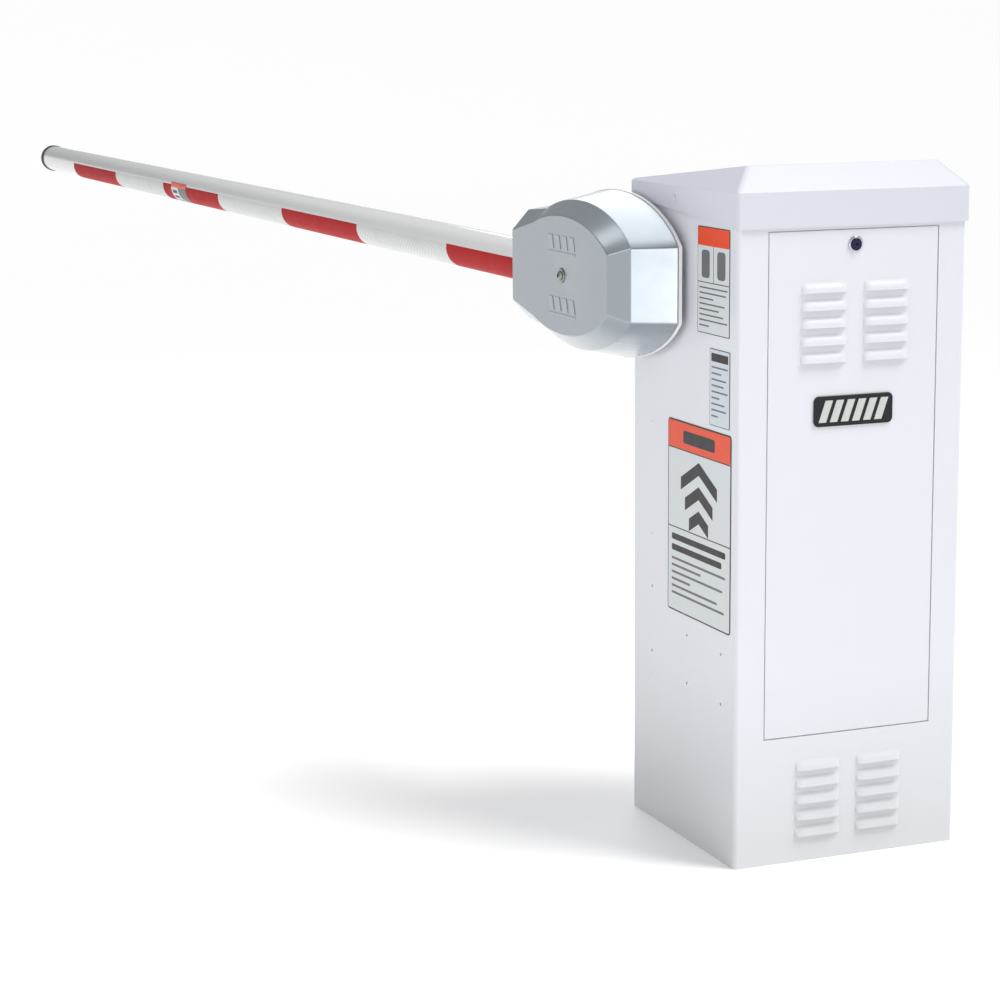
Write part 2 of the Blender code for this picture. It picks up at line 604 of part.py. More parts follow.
def hub():
    """Back plate on the main shaft and the bevelled cover over the arm clamp."""
    plate = loft("hub_plate", [hub_section(HUB_PLATE_X[0], HUB_PLATE),
                               hub_section(HUB_PLATE_X[1], HUB_PLATE)], CAST, ARM_PIVOT)
    cut(plate, round_bar("plate_shaft_cut", (-0.21, ARM_AXIS_Y, ARM_AXIS_Z),
                         (-0.18, ARM_AXIS_Y, ARM_AXIS_Z), SHAFT_R + GAP, TURN_X, parent=ARM_PIVOT))
    for i, (y, z) in enumerate(CLAMP_BOLTS):
        cut(plate, round_bar(f"plate_bolt_cut_{i}", (-0.21, y, z), (-0.18, y, z), CLAMP_BOLT_HOLE_R, TURN_X,
                             parent=ARM_PIVOT, sides=12))

    cover = loft("hub_cover", [hub_section(HUB_FACE_X, HUB_FACE), hub_section(HUB_EDGE_X, HUB_EDGE),
                               hub_section(HUB_RIM_X, HUB_RIM)], SILVER, ARM_PIVOT)
    inset = -HUB_WALL
    cut(cover, loft("cover_inside", [hub_section(HUB_FACE_X + HUB_WALL, HUB_FACE, inset),
                                     hub_section(HUB_EDGE_X + HUB_WALL * 0.4, HUB_EDGE, inset),
                                     hub_section(HUB_RIM_X + 0.01, HUB_RIM, inset)], parent=ARM_PIVOT))
    cut(cover, round_bar("cover_arm_cut", (ARM_X, HUB_NOSE_Y - 0.02, ARM_AXIS_Z),
                         (ARM_X, HUB_NOSE_Y + 0.02, ARM_AXIS_Z), ARM_R + 0.0016, TURN_Y,
                         parent=ARM_PIVOT, sides=32))
    cut(cover, round_bar("cover_screw_cut", (HUB_FACE_X - 0.01, HUB_Y, ARM_AXIS_Z),
                         (HUB_FACE_X + 0.01, HUB_Y, ARM_AXIS_Z), COVER_SCREW_HOLE_R, TURN_X,
                         parent=ARM_PIVOT, sides=16))
    mid = (HUB_FACE_X, HUB_Y, ARM_AXIS_Z)
    facing = (0, radians(-90), 0)
    turned("cover_washer", [(COVER_SCREW_HOLE_R, GAP), (COVER_SCREW_HOLE_R, 0.0022), (0.0105, 0.0022),
                            (0.0115, 0.0014), (0.0115, GAP)], mid, facing, STEEL, ARM_PIVOT, ring=True,
           steps=24)
    screw = turned("cover_screw", [(0, 0.0075), (0.0050, 0.0075), (0.0068, 0.0060), (0.0072, 0.0025),
                                   (0.0030, 0.0025), (0.0030, -0.0120), (0, -0.0120)],
                   mid, facing, STEEL, ARM_PIVOT, steps=24)
    socket = HUB_FACE_X - 0.0075
    cut(screw, round_bar("screw_socket", (socket - 0.003, HUB_Y, ARM_AXIS_Z),
                         (socket + 0.003, HUB_Y, ARM_AXIS_Z), 0.0034, TURN_X, parent=ARM_PIVOT, sides=6))


def arm_clamp():
    """Two saddle blocks that grip the arm's root, with four bolts through to the hub plate."""
    for name, (x0, x1) in (("clamp_rear", CLAMP_REAR_X), ("clamp_front", CLAMP_FRONT_X)):
        body = block(name, (x0, CLAMP_Y[0], ARM_AXIS_Z - CLAMP_HALF_Z),
                     (x1, CLAMP_Y[1], ARM_AXIS_Z + CLAMP_HALF_Z), CAST, ARM_PIVOT, bevel=0.003, segments=1)
        if name == "clamp_front":
            weld(body, round_bar("clamp_boss", (-0.2875, HUB_Y, ARM_AXIS_Z), (-0.275, HUB_Y, ARM_AXIS_Z),
                                 0.0085, TURN_X, parent=ARM_PIVOT, sides=20))
            cut(body, round_bar("clamp_boss_cut", (-0.295, HUB_Y, ARM_AXIS_Z), (-0.277, HUB_Y, ARM_AXIS_Z),
                                0.0034, TURN_X, parent=ARM_PIVOT, sides=16))
        cut(body, round_bar(name + "_saddle", (ARM_X, 0.0, ARM_AXIS_Z), (ARM_X, 0.4, ARM_AXIS_Z),
                            ARM_R + GAP, TURN_Y, parent=ARM_PIVOT, sides=40))
        for i, (y, z) in enumerate(CLAMP_BOLTS):
            cut(body, round_bar(f"{name}_bolt_cut_{i}", (-0.30, y, z), (-0.18, y, z), CLAMP_BOLT_HOLE_R,
                                TURN_X, parent=ARM_PIVOT, sides=12))
    for i, (y, z) in enumerate(CLAMP_BOLTS):
        seat = CLAMP_FRONT_X[0] - GAP
        bolt = round_bar(f"clamp_bolt_{i + 1}", (seat - 0.0054, y, z), (seat, y, z), 0.0075, TURN_X, STEEL,
                         ARM_PIVOT, sides=6)
        weld(bolt, round_bar(f"clamp_bolt_shank_{i}", (seat - 0.0012, y, z), (HUB_PLATE_X[1] + 0.001, y, z),
                             CLAMP_BOLT_R, TURN_X, parent=ARM_PIVOT, sides=12))


def barrier_arm():
    """The round boom, open at its root, with its end cap and wrap of reflective tape."""
    tip = ARM_ROOT_Y + ARM_LENGTH
    inner = ARM_R - ARM_WALL
    turned("barrier_arm", [(inner, tip), (ARM_R, tip), (ARM_R, ARM_ROOT_Y), (inner, ARM_ROOT_Y)],
           (ARM_X, 0, ARM_AXIS_Z), TURN_Y, ARM_WHITE, ARM_PIVOT, ring=True, steps=40)
    turned("arm_end_cap", [(0, 0.0060), (0.0330, 0.0060), (0.0358, 0.0040), (0.0358, GAP),
                           (inner - GAP, GAP), (inner - GAP, -0.0300), (0, -0.0300)],
           (ARM_X, tip, ARM_AXIS_Z), TURN_Y, RUBBER, ARM_PIVOT, steps=40)
    steps = 24
    angles = [TAPE_FROM + (TAPE_TO - TAPE_FROM) * i / steps for i in range(steps + 1)]
    near, far = ARM_R + GAP, ARM_R + 0.0008
    wrap = [(far * cos(a), -far * sin(a)) for a in angles]
    wrap += [(near * cos(a), -near * sin(a)) for a in reversed(angles)]
    outline_plate("reflective_tape", [wrap], TAPE_Y[1] - TAPE_Y[0],
                  (ARM_X, (TAPE_Y[0] + TAPE_Y[1]) / 2, ARM_AXIS_Z), TURN_Y, TAPE, ARM_PIVOT)


# ---------------------------------------------------------------- shaft and linkage
def main_shaft():
    """The shaft that carries the hub, with its bushing, two pillow blocks, lever and limit cams."""
    turned("main_shaft", [(0, SHAFT_X[1]), (SHAFT_R - 0.001, SHAFT_X[1]), (SHAFT_R, SHAFT_X[1] - 0.001),
                          (SHAFT_R, SHAFT_X[0]), (0, SHAFT_X[0])],
           (0, ARM_AXIS_Y, ARM_AXIS_Z), TURN_X, STEEL, ARM_PIVOT)
    wall = -CAB_W / 2
    bore, neck = SHAFT_R + 0.0005, SHAFT_HOLE_R - GAP
    turned("wall_bushing", [(bore, CAB_WALL + 0.004), (BUSHING_R, CAB_WALL + 0.004),
                            (BUSHING_R, CAB_WALL + GAP), (neck, CAB_WALL + GAP), (neck, -0.001),
                            (bore, -0.001)],
           (wall, ARM_AXIS_Y, ARM_AXIS_Z), TURN_X, PLASTIC, ring=True)
    foot = SHELF_Z[1] + GAP
    half_x, half_y, foot_high = BEARING_FOOT
    for name, x in zip(("bearing_left", "bearing_right"), BEARING_X):
        body = block(name, (x - half_x, ARM_AXIS_Y - half_y, foot),
                     (x + half_x, ARM_AXIS_Y + half_y, foot + foot_high), IRON, bevel=0.003, segments=1)
        weld(body, round_bar(name + "_ring", (x - 0.013, ARM_AXIS_Y, ARM_AXIS_Z),
                             (x + 0.013, ARM_AXIS_Y, ARM_AXIS_Z), BEARING_RING_R, TURN_X, sides=28),
             block(name + "_web", (x - 0.010, ARM_AXIS_Y - 0.030, foot + 0.005),
                   (x + 0.010, ARM_AXIS_Y + 0.030, ARM_AXIS_Z - 0.010)))
        cut(body, round_bar(name + "_bore", (x - 0.03, ARM_AXIS_Y, ARM_AXIS_Z),
                            (x + 0.03, ARM_AXIS_Y, ARM_AXIS_Z), SHAFT_R + GAP, TURN_X, sides=32))
    lever_plate("drive_lever", ARM_PIVOT, SHAFT_R)
    for name, x, lobe_at in (("limit_cam_closed", CAM_X[0], radians(200)),
                             ("limit_cam_open", CAM_X[1], radians(110))):
        outline_plate(name, [cam_outline(lobe_at), circle(SHAFT_R + GAP, 32)], CAM_THICK,
                      (x, ARM_AXIS_Y, ARM_AXIS_Z), TURN_X, PLASTIC, ARM_PIVOT)


def cam_outline(lobe_at):
    """A disc with a raised lobe a sixth of a turn long."""
    points = []
    for i in range(36):
        a = 2 * pi * i / 36
        off = abs((a - lobe_at + pi) % (2 * pi) - pi)
        radius = CAM_LOBE_R if off < pi / 6 else CAM_R
        points.append((radius * cos(a), radius * sin(a)))
    return points


def lever_plate(name, pivot, shaft_r):
    """A flat lever on a shaft, lying in the (y, z) plane and pointing along LEVER_REST."""
    mid_x = (LEVER_X[0] + LEVER_X[1]) / 2
    y, z = pivot.location.y, pivot.location.z
    outline_plate(name, [link_outline(LEVER_HUB_R, LEVER_EYE_R, LEVER_LONG), circle(shaft_r + GAP, 32),
                         circle(PIN_R + GAP, 20, (LEVER_LONG, 0))], LEVER_X[1] - LEVER_X[0],
                  (mid_x, y, z), (radians(90), -LEVER_REST, radians(90)), STEEL, pivot)
    pin_y = y + LEVER_LONG * cos(LEVER_REST)
    pin_z = z + LEVER_LONG * sin(LEVER_REST)
    pin = "lever_pin" if name == "drive_lever" else "crank_pin"
    start, stop = PIN_X
    end = stop - PIN_HEAD_THICK
    turned(pin, [(0, start), (PIN_R, start), (PIN_R, stop), (PIN_HEAD_R, stop), (PIN_HEAD_R, end),
                 (0, end)], (0, pin_y, pin_z), TURN_X, STEEL, pivot, steps=20)


def connecting_rod():
    """Rod between the crank and the lever; it stays parallel to itself as both turn."""
    top = ROD_PIVOT.location
    span = Vector((0, REDUCER_Y - ARM_AXIS_Y, REDUCER_Z - ARM_AXIS_Z))
    lean = atan2(span.y, -span.z)
    mid_x = (ROD_X[0] + ROD_X[1]) / 2
    long = span.length

    def on_rod(distance):
        return Vector((mid_x, top.y, top.z)) + span.normalized() * distance

    turn = (lean, 0, 0)
    rod = round_bar("connecting_rod", on_rod(ROD_GRIP), on_rod(long - ROD_GRIP), ROD_HEX_R, turn, STEEL,
                    ROD_PIVOT, sides=6)
    for name, at, way in (("rod_end_upper", 0.0, 1), ("rod_end_lower", long, -1)):
        centre = on_rod(at)
        eye = round_bar(name, (ROD_X[0], centre.y, centre.z), (ROD_X[1], centre.y, centre.z), ROD_EYE_R,
                        TURN_X, STEEL, ROD_PIVOT, sides=28)
        deep = ROD_GRIP + ROD_BORE
        weld(eye, round_bar(name + "_shank", on_rod(at + way * 0.010), on_rod(at + way * (deep - 0.004)),
                            ROD_SHANK_R, turn, parent=ROD_PIVOT, sides=16))
        cut(eye, round_bar(name + "_bore", (-0.09, centre.y, centre.z), (-0.05, centre.y, centre.z),
                           PIN_R + GAP, TURN_X, parent=ROD_PIVOT, sides=20))
        cut(rod, round_bar(name + "_thread", on_rod(at + way * (ROD_GRIP - 0.01)), on_rod(at + way * deep),
                           ROD_SHANK_R + 0.0004, turn, parent=ROD_PIVOT, sides=16))


def gear_reducer():
    """Worm gear reducer with its output shaft and crank, and the input pulley on the worm shaft."""
    y, z = REDUCER_Y, REDUCER_Z
    foot = PLATFORM_Z[1] + GAP
    case = block("gear_reducer", (CASE_X[0], CASE_Y[0], foot + 0.004), (CASE_X[1], CASE_Y[1], CASE_TOP),
                 IRON, bevel=0.010, segments=2)
    weld(case, block("reducer_foot", (CASE_X[0] - 0.010, CASE_Y[0] - 0.008, foot),
                     (CASE_X[1] + 0.010, CASE_Y[1] + 0.008, foot + 0.011)),
         round_bar("output_cap", (-0.045, y, z), (-0.030, y, z), 0.038, TURN_X, sides=32),
         round_bar("input_cap", (WORM_X, y - 0.062, WORM_Z), (WORM_X, y - 0.040, WORM_Z), 0.026, TURN_Y,
                   sides=28),
         round_bar("fill_plug", (WORM_X, y, CASE_TOP - 0.005), (WORM_X, y, CASE_TOP + 0.008), 0.009,
                   NO_TURN, sides=6))
    cut(case, round_bar("output_bore", (-0.06, y, z), (-0.010, y, z), OUTPUT_R + GAP, TURN_X, sides=32),
        round_bar("input_bore", (WORM_X, y - 0.08, WORM_Z), (WORM_X, y - 0.020, WORM_Z), WORM_R + GAP,
                  TURN_Y, sides=24))
    start, end = OUTPUT_X
    turned("output_shaft", [(0, start), (OUTPUT_R, start), (OUTPUT_R, end + 0.001), (OUTPUT_R - 0.001, end),
                            (0, end)], (0, y, z), TURN_X, STEEL, CRANK_PIVOT)
    lever_plate("output_crank", CRANK_PIVOT, OUTPUT_R)
    pulley("input_pulley", BELT_PITCH_R * BELT_RATIO, WORM_R, y - 0.0210, WORM_Z, WORM_PIVOT)


def pulley(name, pitch_r, shaft_r, shaft_end_y, z, pivot):
    """A grooved pulley with its shaft, turned about Y; the belt's middle runs at pitch_r."""
    y0, y1 = PULLEY_Y
    lip = 0.0035
    floor = pitch_r - BELT_THICK / 2 - BELT_SEAT
    radius = floor + GROOVE
    turned(name, [(0, shaft_end_y), (shaft_r, shaft_end_y), (shaft_r, y1 + 0.006), (0.018, y1 + 0.006),
                  (0.018, y1), (radius, y1), (radius, y1 - lip), (floor, y1 - lip),
                  (floor, y0 + lip), (radius, y0 + lip), (radius, y0), (0, y0)],
           (WORM_X, 0, z), TURN_Y, STEEL, pivot)


def motor_drive():
    """Motor in its cradle, its pulley, and the belt up to the reducer."""
    y0, y1 = MOTOR_Y
    frame = turned("motor", [(0, y1), (0.050, y1), (0.055, y1 - 0.012), (MOTOR_R, y1 - 0.020),
                             (MOTOR_R, y0 + 0.020), (0.055, y0 + 0.012), (0.050, y0), (0, y0)],
                   (WORM_X, 0, MOTOR_Z), TURN_Y, MOTOR_GREY, steps=36)
    weld(frame, block("motor_terminal_box", (WORM_X + 0.045, 0.040, MOTOR_Z + 0.005),
                      (WORM_X + 0.090, 0.110, MOTOR_Z + 0.055)))
    cut(frame, round_bar("motor_bore", (WORM_X, -0.01, MOTOR_Z), (WORM_X, 0.032, MOTOR_Z),
                         MOTOR_SHAFT_R + GAP, TURN_Y))
    pulley("motor_pulley", BELT_PITCH_R, MOTOR_SHAFT_R, 0.030, MOTOR_Z, MOTOR_PIVOT)

    cradle = block("motor_cradle", (WORM_X - 0.052, 0.024, BASE_THICK + GAP),
                   (WORM_X + 0.052, 0.126, MOTOR_Z - 0.022), STEEL)
    cut(cradle, round_bar("cradle_saddle", (WORM_X, 0, MOTOR_Z), (WORM_X, 0.2, MOTOR_Z), MOTOR_R + GAP,
                          TURN_Y, sides=36),
        block("cradle_arch", (WORM_X - 0.040, 0.0, -0.01), (WORM_X + 0.040, 0.2, 0.040)),
        block("cradle_gap", (WORM_X - 0.1, 0.036, BASE_THICK + 0.005), (WORM_X + 0.1, 0.114, 0.2)))

    turn = (radians(90), 0, 0)
    loops = [[(v, u) for u, v in link_outline(BELT_PITCH_R * BELT_RATIO + off, BELT_PITCH_R + off,
                                              WORM_Z - MOTOR_Z, 20)]
             for off in (BELT_THICK / 2, -BELT_THICK / 2)]
    loops = [[(-u, -v) for u, v in loop] for loop in loops]
    outline_plate("drive_belt", loops, PULLEY_Y[1] - PULLEY_Y[0] - 0.008,
                  (WORM_X, (PULLEY_Y[0] + PULLEY_Y[1]) / 2, WORM_Z), turn, RUBBER)


# ---------------------------------------------------------------- inner frame and controls
def inner_frame():
    """Angle-iron side frames, the bearing shelf on top of them and the reducer's platform."""
    for name, side in (("side_frame_left", -1), ("side_frame_right", 1)):
        x_out, x_in = side * POST_X[1], side * POST_X[0]
        lo_x, hi_x = min(x_out, x_in), max(x_out, x_in)
        bars = []
        for i, (y0, y1) in enumerate(POST_Y):
            web = (lo_x, lo_x + POST_WALL) if side < 0 else (hi_x - POST_WALL, hi_x)
            bars.append(block(f"{name}_flange_{i}", (lo_x, y0, BASE_THICK + GAP),
                              (hi_x, y0 + POST_WALL, SHELF_Z[0] - GAP), STEEL))
            bars.append(block(f"{name}_web_{i}", (web[0], y0, BASE_THICK + GAP),
                              (web[1], y1, SHELF_Z[0] - GAP)))
        ledge = side * (POST_X[0] - LEDGE)
        for i, z in enumerate((PLATFORM_Z[0] - GAP, SHELF_Z[0] - GAP)):
            bars.append(block(f"{name}_rail_{i}", (min(ledge, x_out), POST_Y[0][0] + 0.001, z - RAIL_THICK),
                              (max(ledge, x_out), POST_Y[1][1], z)))
        bars[0].name = name
        weld(bars[0], *bars[1:])
    shelf = block("bearing_shelf", (-POST_X[1], 0.036, SHELF_Z[0]), (POST_X[1], 0.172, SHELF_Z[1]), STEEL)
    cut(shelf, block("shelf_notch", (-0.095, 0.0, 0.77), (-0.025, 0.118, 0.80)))
    block("reducer_platform", (-POST_X[0] + 0.0005, 0.004, PLATFORM_Z[0]),
          (POST_X[0] - 0.0005, 0.171, PLATFORM_Z[1]), STEEL)


def limit_switches():
    """Two lever switches in front of the cams, standing on the shelf."""
    for name, x in zip(("limit_switch_closed", "limit_switch_open"), CAM_X):
        body = block(name, (x - 0.006, 0.052, 0.806), (x + 0.006, 0.082, 0.830), PLASTIC)
        weld(body, block(name + "_foot", (x - 0.005, 0.056, SHELF_Z[1] + GAP), (x + 0.005, 0.076, 0.808)),
             block(name + "_blade", (x - 0.003, 0.060, 0.8295), (x + 0.003, 0.0885, 0.8310)),
             round_bar(name + "_roller", (x - 0.003, 0.0885, 0.8325), (x + 0.003, 0.0885, 0.8325), 0.0035,
                       TURN_X, sides=12))


def controls():
    """Control panel on the right wall with a circuit board and a power switch."""
    wall = CAB_W / 2 - CAB_WALL
    back = wall - 0.0020
    front = back - PANEL_THICK
    panel = block("control_panel", (front, PANEL_Y[0], PANEL_Z[0]), (back, PANEL_Y[1], PANEL_Z[1]), STEEL)
    for i, y in enumerate((BOARD_Y[0] + 0.008, BOARD_Y[1] - 0.008)):
        for j, z in enumerate((BOARD_Z[0] + 0.008, BOARD_Z[1] - 0.008)):
            weld(panel, round_bar(f"standoff_{i}_{j}", (BOARD_X + BOARD_THICK + GAP, y, z),
                                  (back - 0.001, y, z), 0.004, TURN_X, sides=8))
    board = block("circuit_board", (BOARD_X, BOARD_Y[0], BOARD_Z[0]),
                  (BOARD_X + BOARD_THICK, BOARD_Y[1], BOARD_Z[1]), BOARD)
    deep = BOARD_X + BOARD_THICK / 2    # the parts' feet sink to the board's middle
    parts = [block("terminal_strip", (BOARD_X - 0.014, -0.110, 0.566), (deep, 0.010, 0.578)),
             block("transformer_block", (BOARD_X - 0.024, -0.030, 0.660), (deep, 0.010, 0.700))]
    for i in range(3):
        y = -0.108 + i * 0.026
        parts.append(block(f"relay_{i}", (BOARD_X - 0.015, y, 0.620), (deep, y + 0.018, 0.648)))
    for i in range(2):
        y = -0.098 + i * 0.030
        parts.append(round_bar(f"capacitor_{i}", (BOARD_X - 0.022, y, 0.685), (deep, y, 0.685), 0.009,
                               TURN_X, sides=16))
    weld(board, *parts)
    block("power_switch", (SWITCH_X, -0.105, 0.455), (front - GAP, -0.065, 0.515), PLASTIC, bevel=0.002,
          segments=1)
    pivot = TOGGLE_PIVOT.location
    ball = bmesh.new()
    bmesh.ops.create_uvsphere(ball, u_segments=12, v_segments=8, radius=0.0042)
    mesh = bpy.data.meshes.new("power_toggle")
    ball.to_mesh(mesh)
    ball.free()
    toggle = add("power_toggle", mesh, CHROME, pivot, parent=TOGGLE_PIVOT, smooth=True)
    reach = Vector((sin(TOGGLE_TILT), 0, cos(TOGGLE_TILT)))
    weld(toggle, round_bar("toggle_stick", pivot + reach * 0.001, pivot + reach * 0.019, 0.0024,
                           (0, TOGGLE_TILT, 0), parent=TOGGLE_PIVOT, sides=12))


base_plate()
cabinet_shell()
hood()
door()
door_lock()
side_labels()
hub()
arm_clamp()
barrier_arm()
main_shaft()
connecting_rod()
gear_reducer()
motor_drive()
inner_frame()
limit_switches()
controls()
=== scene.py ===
"""Looks for the parking barrier gate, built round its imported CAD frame.

Metres, +Z up, in the frame of the CAD: the door faces -Y, the hub is on the -X side and the closed
arm lies level along +Y. Sheet metal, hub cover, boom, tape, labels and lock are remade here with
fine edges; the mechanism inside keeps its CAD shapes and gets its finishes.
"""

from math import acos, copysign, cos, pi, radians, sin, sqrt

import bmesh
import bpy
from mathutils import Matrix, Vector


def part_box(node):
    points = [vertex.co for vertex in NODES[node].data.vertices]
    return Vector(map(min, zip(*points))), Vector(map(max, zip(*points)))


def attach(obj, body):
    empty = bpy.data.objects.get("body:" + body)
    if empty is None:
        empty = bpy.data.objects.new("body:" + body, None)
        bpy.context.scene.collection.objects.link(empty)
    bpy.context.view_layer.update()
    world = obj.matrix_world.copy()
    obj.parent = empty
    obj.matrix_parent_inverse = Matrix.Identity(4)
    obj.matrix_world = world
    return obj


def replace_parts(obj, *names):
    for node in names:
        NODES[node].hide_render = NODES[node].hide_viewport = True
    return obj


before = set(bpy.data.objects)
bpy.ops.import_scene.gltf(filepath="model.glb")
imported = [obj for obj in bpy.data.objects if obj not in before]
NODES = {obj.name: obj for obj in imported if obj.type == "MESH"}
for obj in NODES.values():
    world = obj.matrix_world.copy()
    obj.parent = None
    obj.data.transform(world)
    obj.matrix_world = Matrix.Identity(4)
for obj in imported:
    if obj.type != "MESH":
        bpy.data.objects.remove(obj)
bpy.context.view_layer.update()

# ---------------------------------------------------------------- sizes (metres), as in the CAD
CUT_PAST = 0.01              # how far a cutting shape reaches past the sheet it cuts
CAB_W = 0.366
CAB_D = 0.352
CAB_TOP = 0.979
CAB_WALL = 0.0025
CAB_BEND = 0.006
FRONT_Y = -CAB_D / 2
LEFT_X = -CAB_W / 2

HOOD_OVER = 0.004
HOOD_WALL = 0.002
HOOD_LOW_FRONT = 0.929
HOOD_LOW_BACK = 0.956
HOOD_FOLD = 0.980
HOOD_TOP = 1.016
HOOD_BACK_TOP = 0.983
HOOD_INSET_X = 0.033
HOOD_INSET_Y = 0.036
HOOD_INSET_BACK = 0.004
HOOD_SCREW = (0.0255, 0.962)

DOOR_X = (-0.135, 0.1365)
DOOR_Z = (0.1905, 0.9236)
DOOR_WALL = 0.002
DOOR_SEAM = 0.0015
LOUVRE_X = (-0.0475, 0.053)
LOUVRE_WIDE = 0.073
LOUVRE_HIGH = 0.0175
LOUVRE_OUT = 0.006
LOUVRE_PITCH = 0.025
LOUVRE_COUNT = 5
LOUVRE_END = 0.011           # length over which a louvre swells from its round end
DOOR_LOUVRE_Z = 0.836
SILL_LOUVRE_Z = 0.1383
LOCK = (0.0016, 0.9027)
LOCK_HOLE_R = 0.0096
SHAFT_HOLE_R = 0.0222
SPARE_HOLE_R = 0.0023
HOOD_HOLE_R = 0.0026
COVER_HOLE_R = 0.0036
# small holes and rivets in the left wall, as places along Y and heights
SPARE_HOLES = ((0.107, 0.367), (0.107, 0.266), (-0.016, 0.316), (-0.016, 0.2425),
               (-0.129, 0.312), (-0.129, 0.2375))
RIVET_Y = 0.107
RIVET_HEIGHTS = (0.620, 0.448, 0.2295, 0.106)

ARM_AXIS_Y = 0.125
ARM_AXIS_Z = 0.838
ARM_X = -0.239
ARM_R = 0.0341
ARM_WALL = 0.0018
STRIPE_FIRST = 0.747         # end of the first red stripe, counted from the hub
STRIPE_LONG = 0.4795
TAPE_FROM = radians(169.5)
TAPE_TO = radians(370.5)
TAPE_GAP = 0.0004            # left free at each end of a stripe
TAPE_OVER = (0.00015, 0.0007)            # underside and face above the tube's skin
STICKER_Y = (2.460, 2.528, 2.590)        # near end, split between fields, far end
STICKER_TURNS = (160, 179, 256)          # degrees round the tube: top, fold, low edge
STICKER_OVER = (0.0007, 0.0009, 0.0010)  # underside, face and ink above the tube's skin

HUB_Y = 0.200
HUB_NOSE_Y = 0.400
HUB_PLATE_X = (-0.1985, -0.1935)
HUB_RIM_X = -0.2005
HUB_EDGE_X = -0.2637
HUB_FACE_X = -0.2916
HUB_WALL = 0.003
HUB_MARK_UP = 0.047          # from the arm's axis to each raised mark
# half length, half height, flat's distance from the centre, half height of the nose's end
HUB_FACE = (0.193, 0.090, 0.169, 0.055)
HUB_EDGE = (0.217, 0.113, 0.1905, 0.086)
HUB_RIM = (0.240, 0.1255, 0.2155, 0.094)
HUB_PLATE = (0.2415, 0.127, 0.217, 0.0955)


# ---------------------------------------------------------------- node helpers
class Finish:
    """A procedural material: a Principled shader with a few named ways to drive its sockets."""

    def __init__(self, name, colour, roughness, metallic=0.0, coat=0.0, coat_roughness=0.08, specular=0.5):
        self.mat = bpy.data.materials.new(name)
        self.mat.use_nodes = True
        self.nodes = self.mat.node_tree.nodes
        self.links = self.mat.node_tree.links
        self.shader = self.nodes["Principled BSDF"]
        self.colour = (*colour, 1.0)
        for socket, value in (("Base Color", self.colour), ("Roughness", roughness), ("Metallic", metallic),
                              ("Coat Weight", coat), ("Coat Roughness", coat_roughness),
                              ("Specular IOR Level", specular)):
            self.shader.inputs[socket].default_value = value
        self.place = self.nodes.new("ShaderNodeTexCoord")
        self.height = None

    def node(self, kind, **values):
        made = self.nodes.new(kind)
        for key, value in values.items():
            if key in made.inputs:
                made.inputs[key].default_value = value
            else:
                setattr(made, key, value)
        return made

    def maths(self, operation, first, second=0.0, clamp=False):
        made = self.node("ShaderNodeMath", operation=operation, use_clamp=clamp)
        for socket, value in zip(made.inputs, (first, second)):
            if isinstance(value, (int, float)):
                socket.default_value = value
            else:
                self.links.new(value, socket)
        return made.outputs[0]

    def axes(self, source):
        """Splits a position or a flat coordinate into its numbers."""
        split = self.node("ShaderNodeSeparateXYZ")
        self.links.new(source, split.inputs[0])
        return split.outputs

    def coords(self, stretch=(1, 1, 1), source="Object"):
        mapping = self.node("ShaderNodeMapping")
        mapping.inputs["Scale"].default_value = stretch
        self.links.new(self.place.outputs[source], mapping.inputs["Vector"])
        return mapping.outputs["Vector"]

    def noise(self, scale, detail=3.0, roughness=0.5, stretch=(1, 1, 1)):
        made = self.node("ShaderNodeTexNoise", Scale=scale, Detail=detail, Roughness=roughness)
        self.links.new(self.coords(stretch), made.inputs["Vector"])
        return made.outputs["Fac"]

    def cells(self, scale):
        made = self.node("ShaderNodeTexVoronoi", Scale=scale)
        self.links.new(self.coords(), made.inputs["Vector"])
        return made.outputs["Distance"]

    def spread(self, value, low, high, to_low=0.0, to_high=1.0):
        made = self.node("ShaderNodeMapRange")
        for key, number in (("From Min", low), ("From Max", high), ("To Min", to_low), ("To Max", to_high)):
            made.inputs[key].default_value = number
        self.links.new(value, made.inputs["Value"])
        return made.outputs["Result"]

    def tint(self, amount, colour):
        """Mixes another colour over what the base colour is so far."""
        mix = self.node("ShaderNodeMix", data_type="RGBA")
        base = self.shader.inputs["Base Color"]
        if base.links:
            self.links.new(base.links[0].from_socket, mix.inputs["A"])
        else:
            mix.inputs["A"].default_value = self.colour
        mix.inputs["B"].default_value = (*colour, 1.0)
        self.links.new(amount, mix.inputs["Factor"])
        self.links.new(mix.outputs["Result"], base)
        return self

    def rough(self, value, low, high):
        self.links.new(self.spread(value, 0.3, 0.7, low, high), self.shader.inputs["Roughness"])
        return self

    def bump(self, value, depth, strength=1.0):
        """Adds a height in metres to the surface's relief."""
        made = self.node("ShaderNodeBump", Distance=depth, Strength=strength)
        self.links.new(value, made.inputs["Height"])
        if self.height:
            self.links.new(self.height, made.inputs["Normal"])
        self.height = made.outputs["Normal"]
        self.links.new(self.height, self.shader.inputs["Normal"])
        return self

    def worn_edges(self, colour, amount=0.5):
        """Lightens or darkens the ridges, broken up by noise."""
        ridge = self.spread(self.node("ShaderNodeNewGeometry").outputs["Pointiness"], 0.53, 0.62)
        mask = self.maths("MULTIPLY", ridge, self.noise(60, 4))
        return self.tint(self.maths("MULTIPLY", mask, amount), colour)


# ---------------------------------------------------------------- finishes
def shade(colour, factor, lift=0.0):
    """The same colour, darker or lighter."""
    return tuple(c * factor + lift for c in colour)


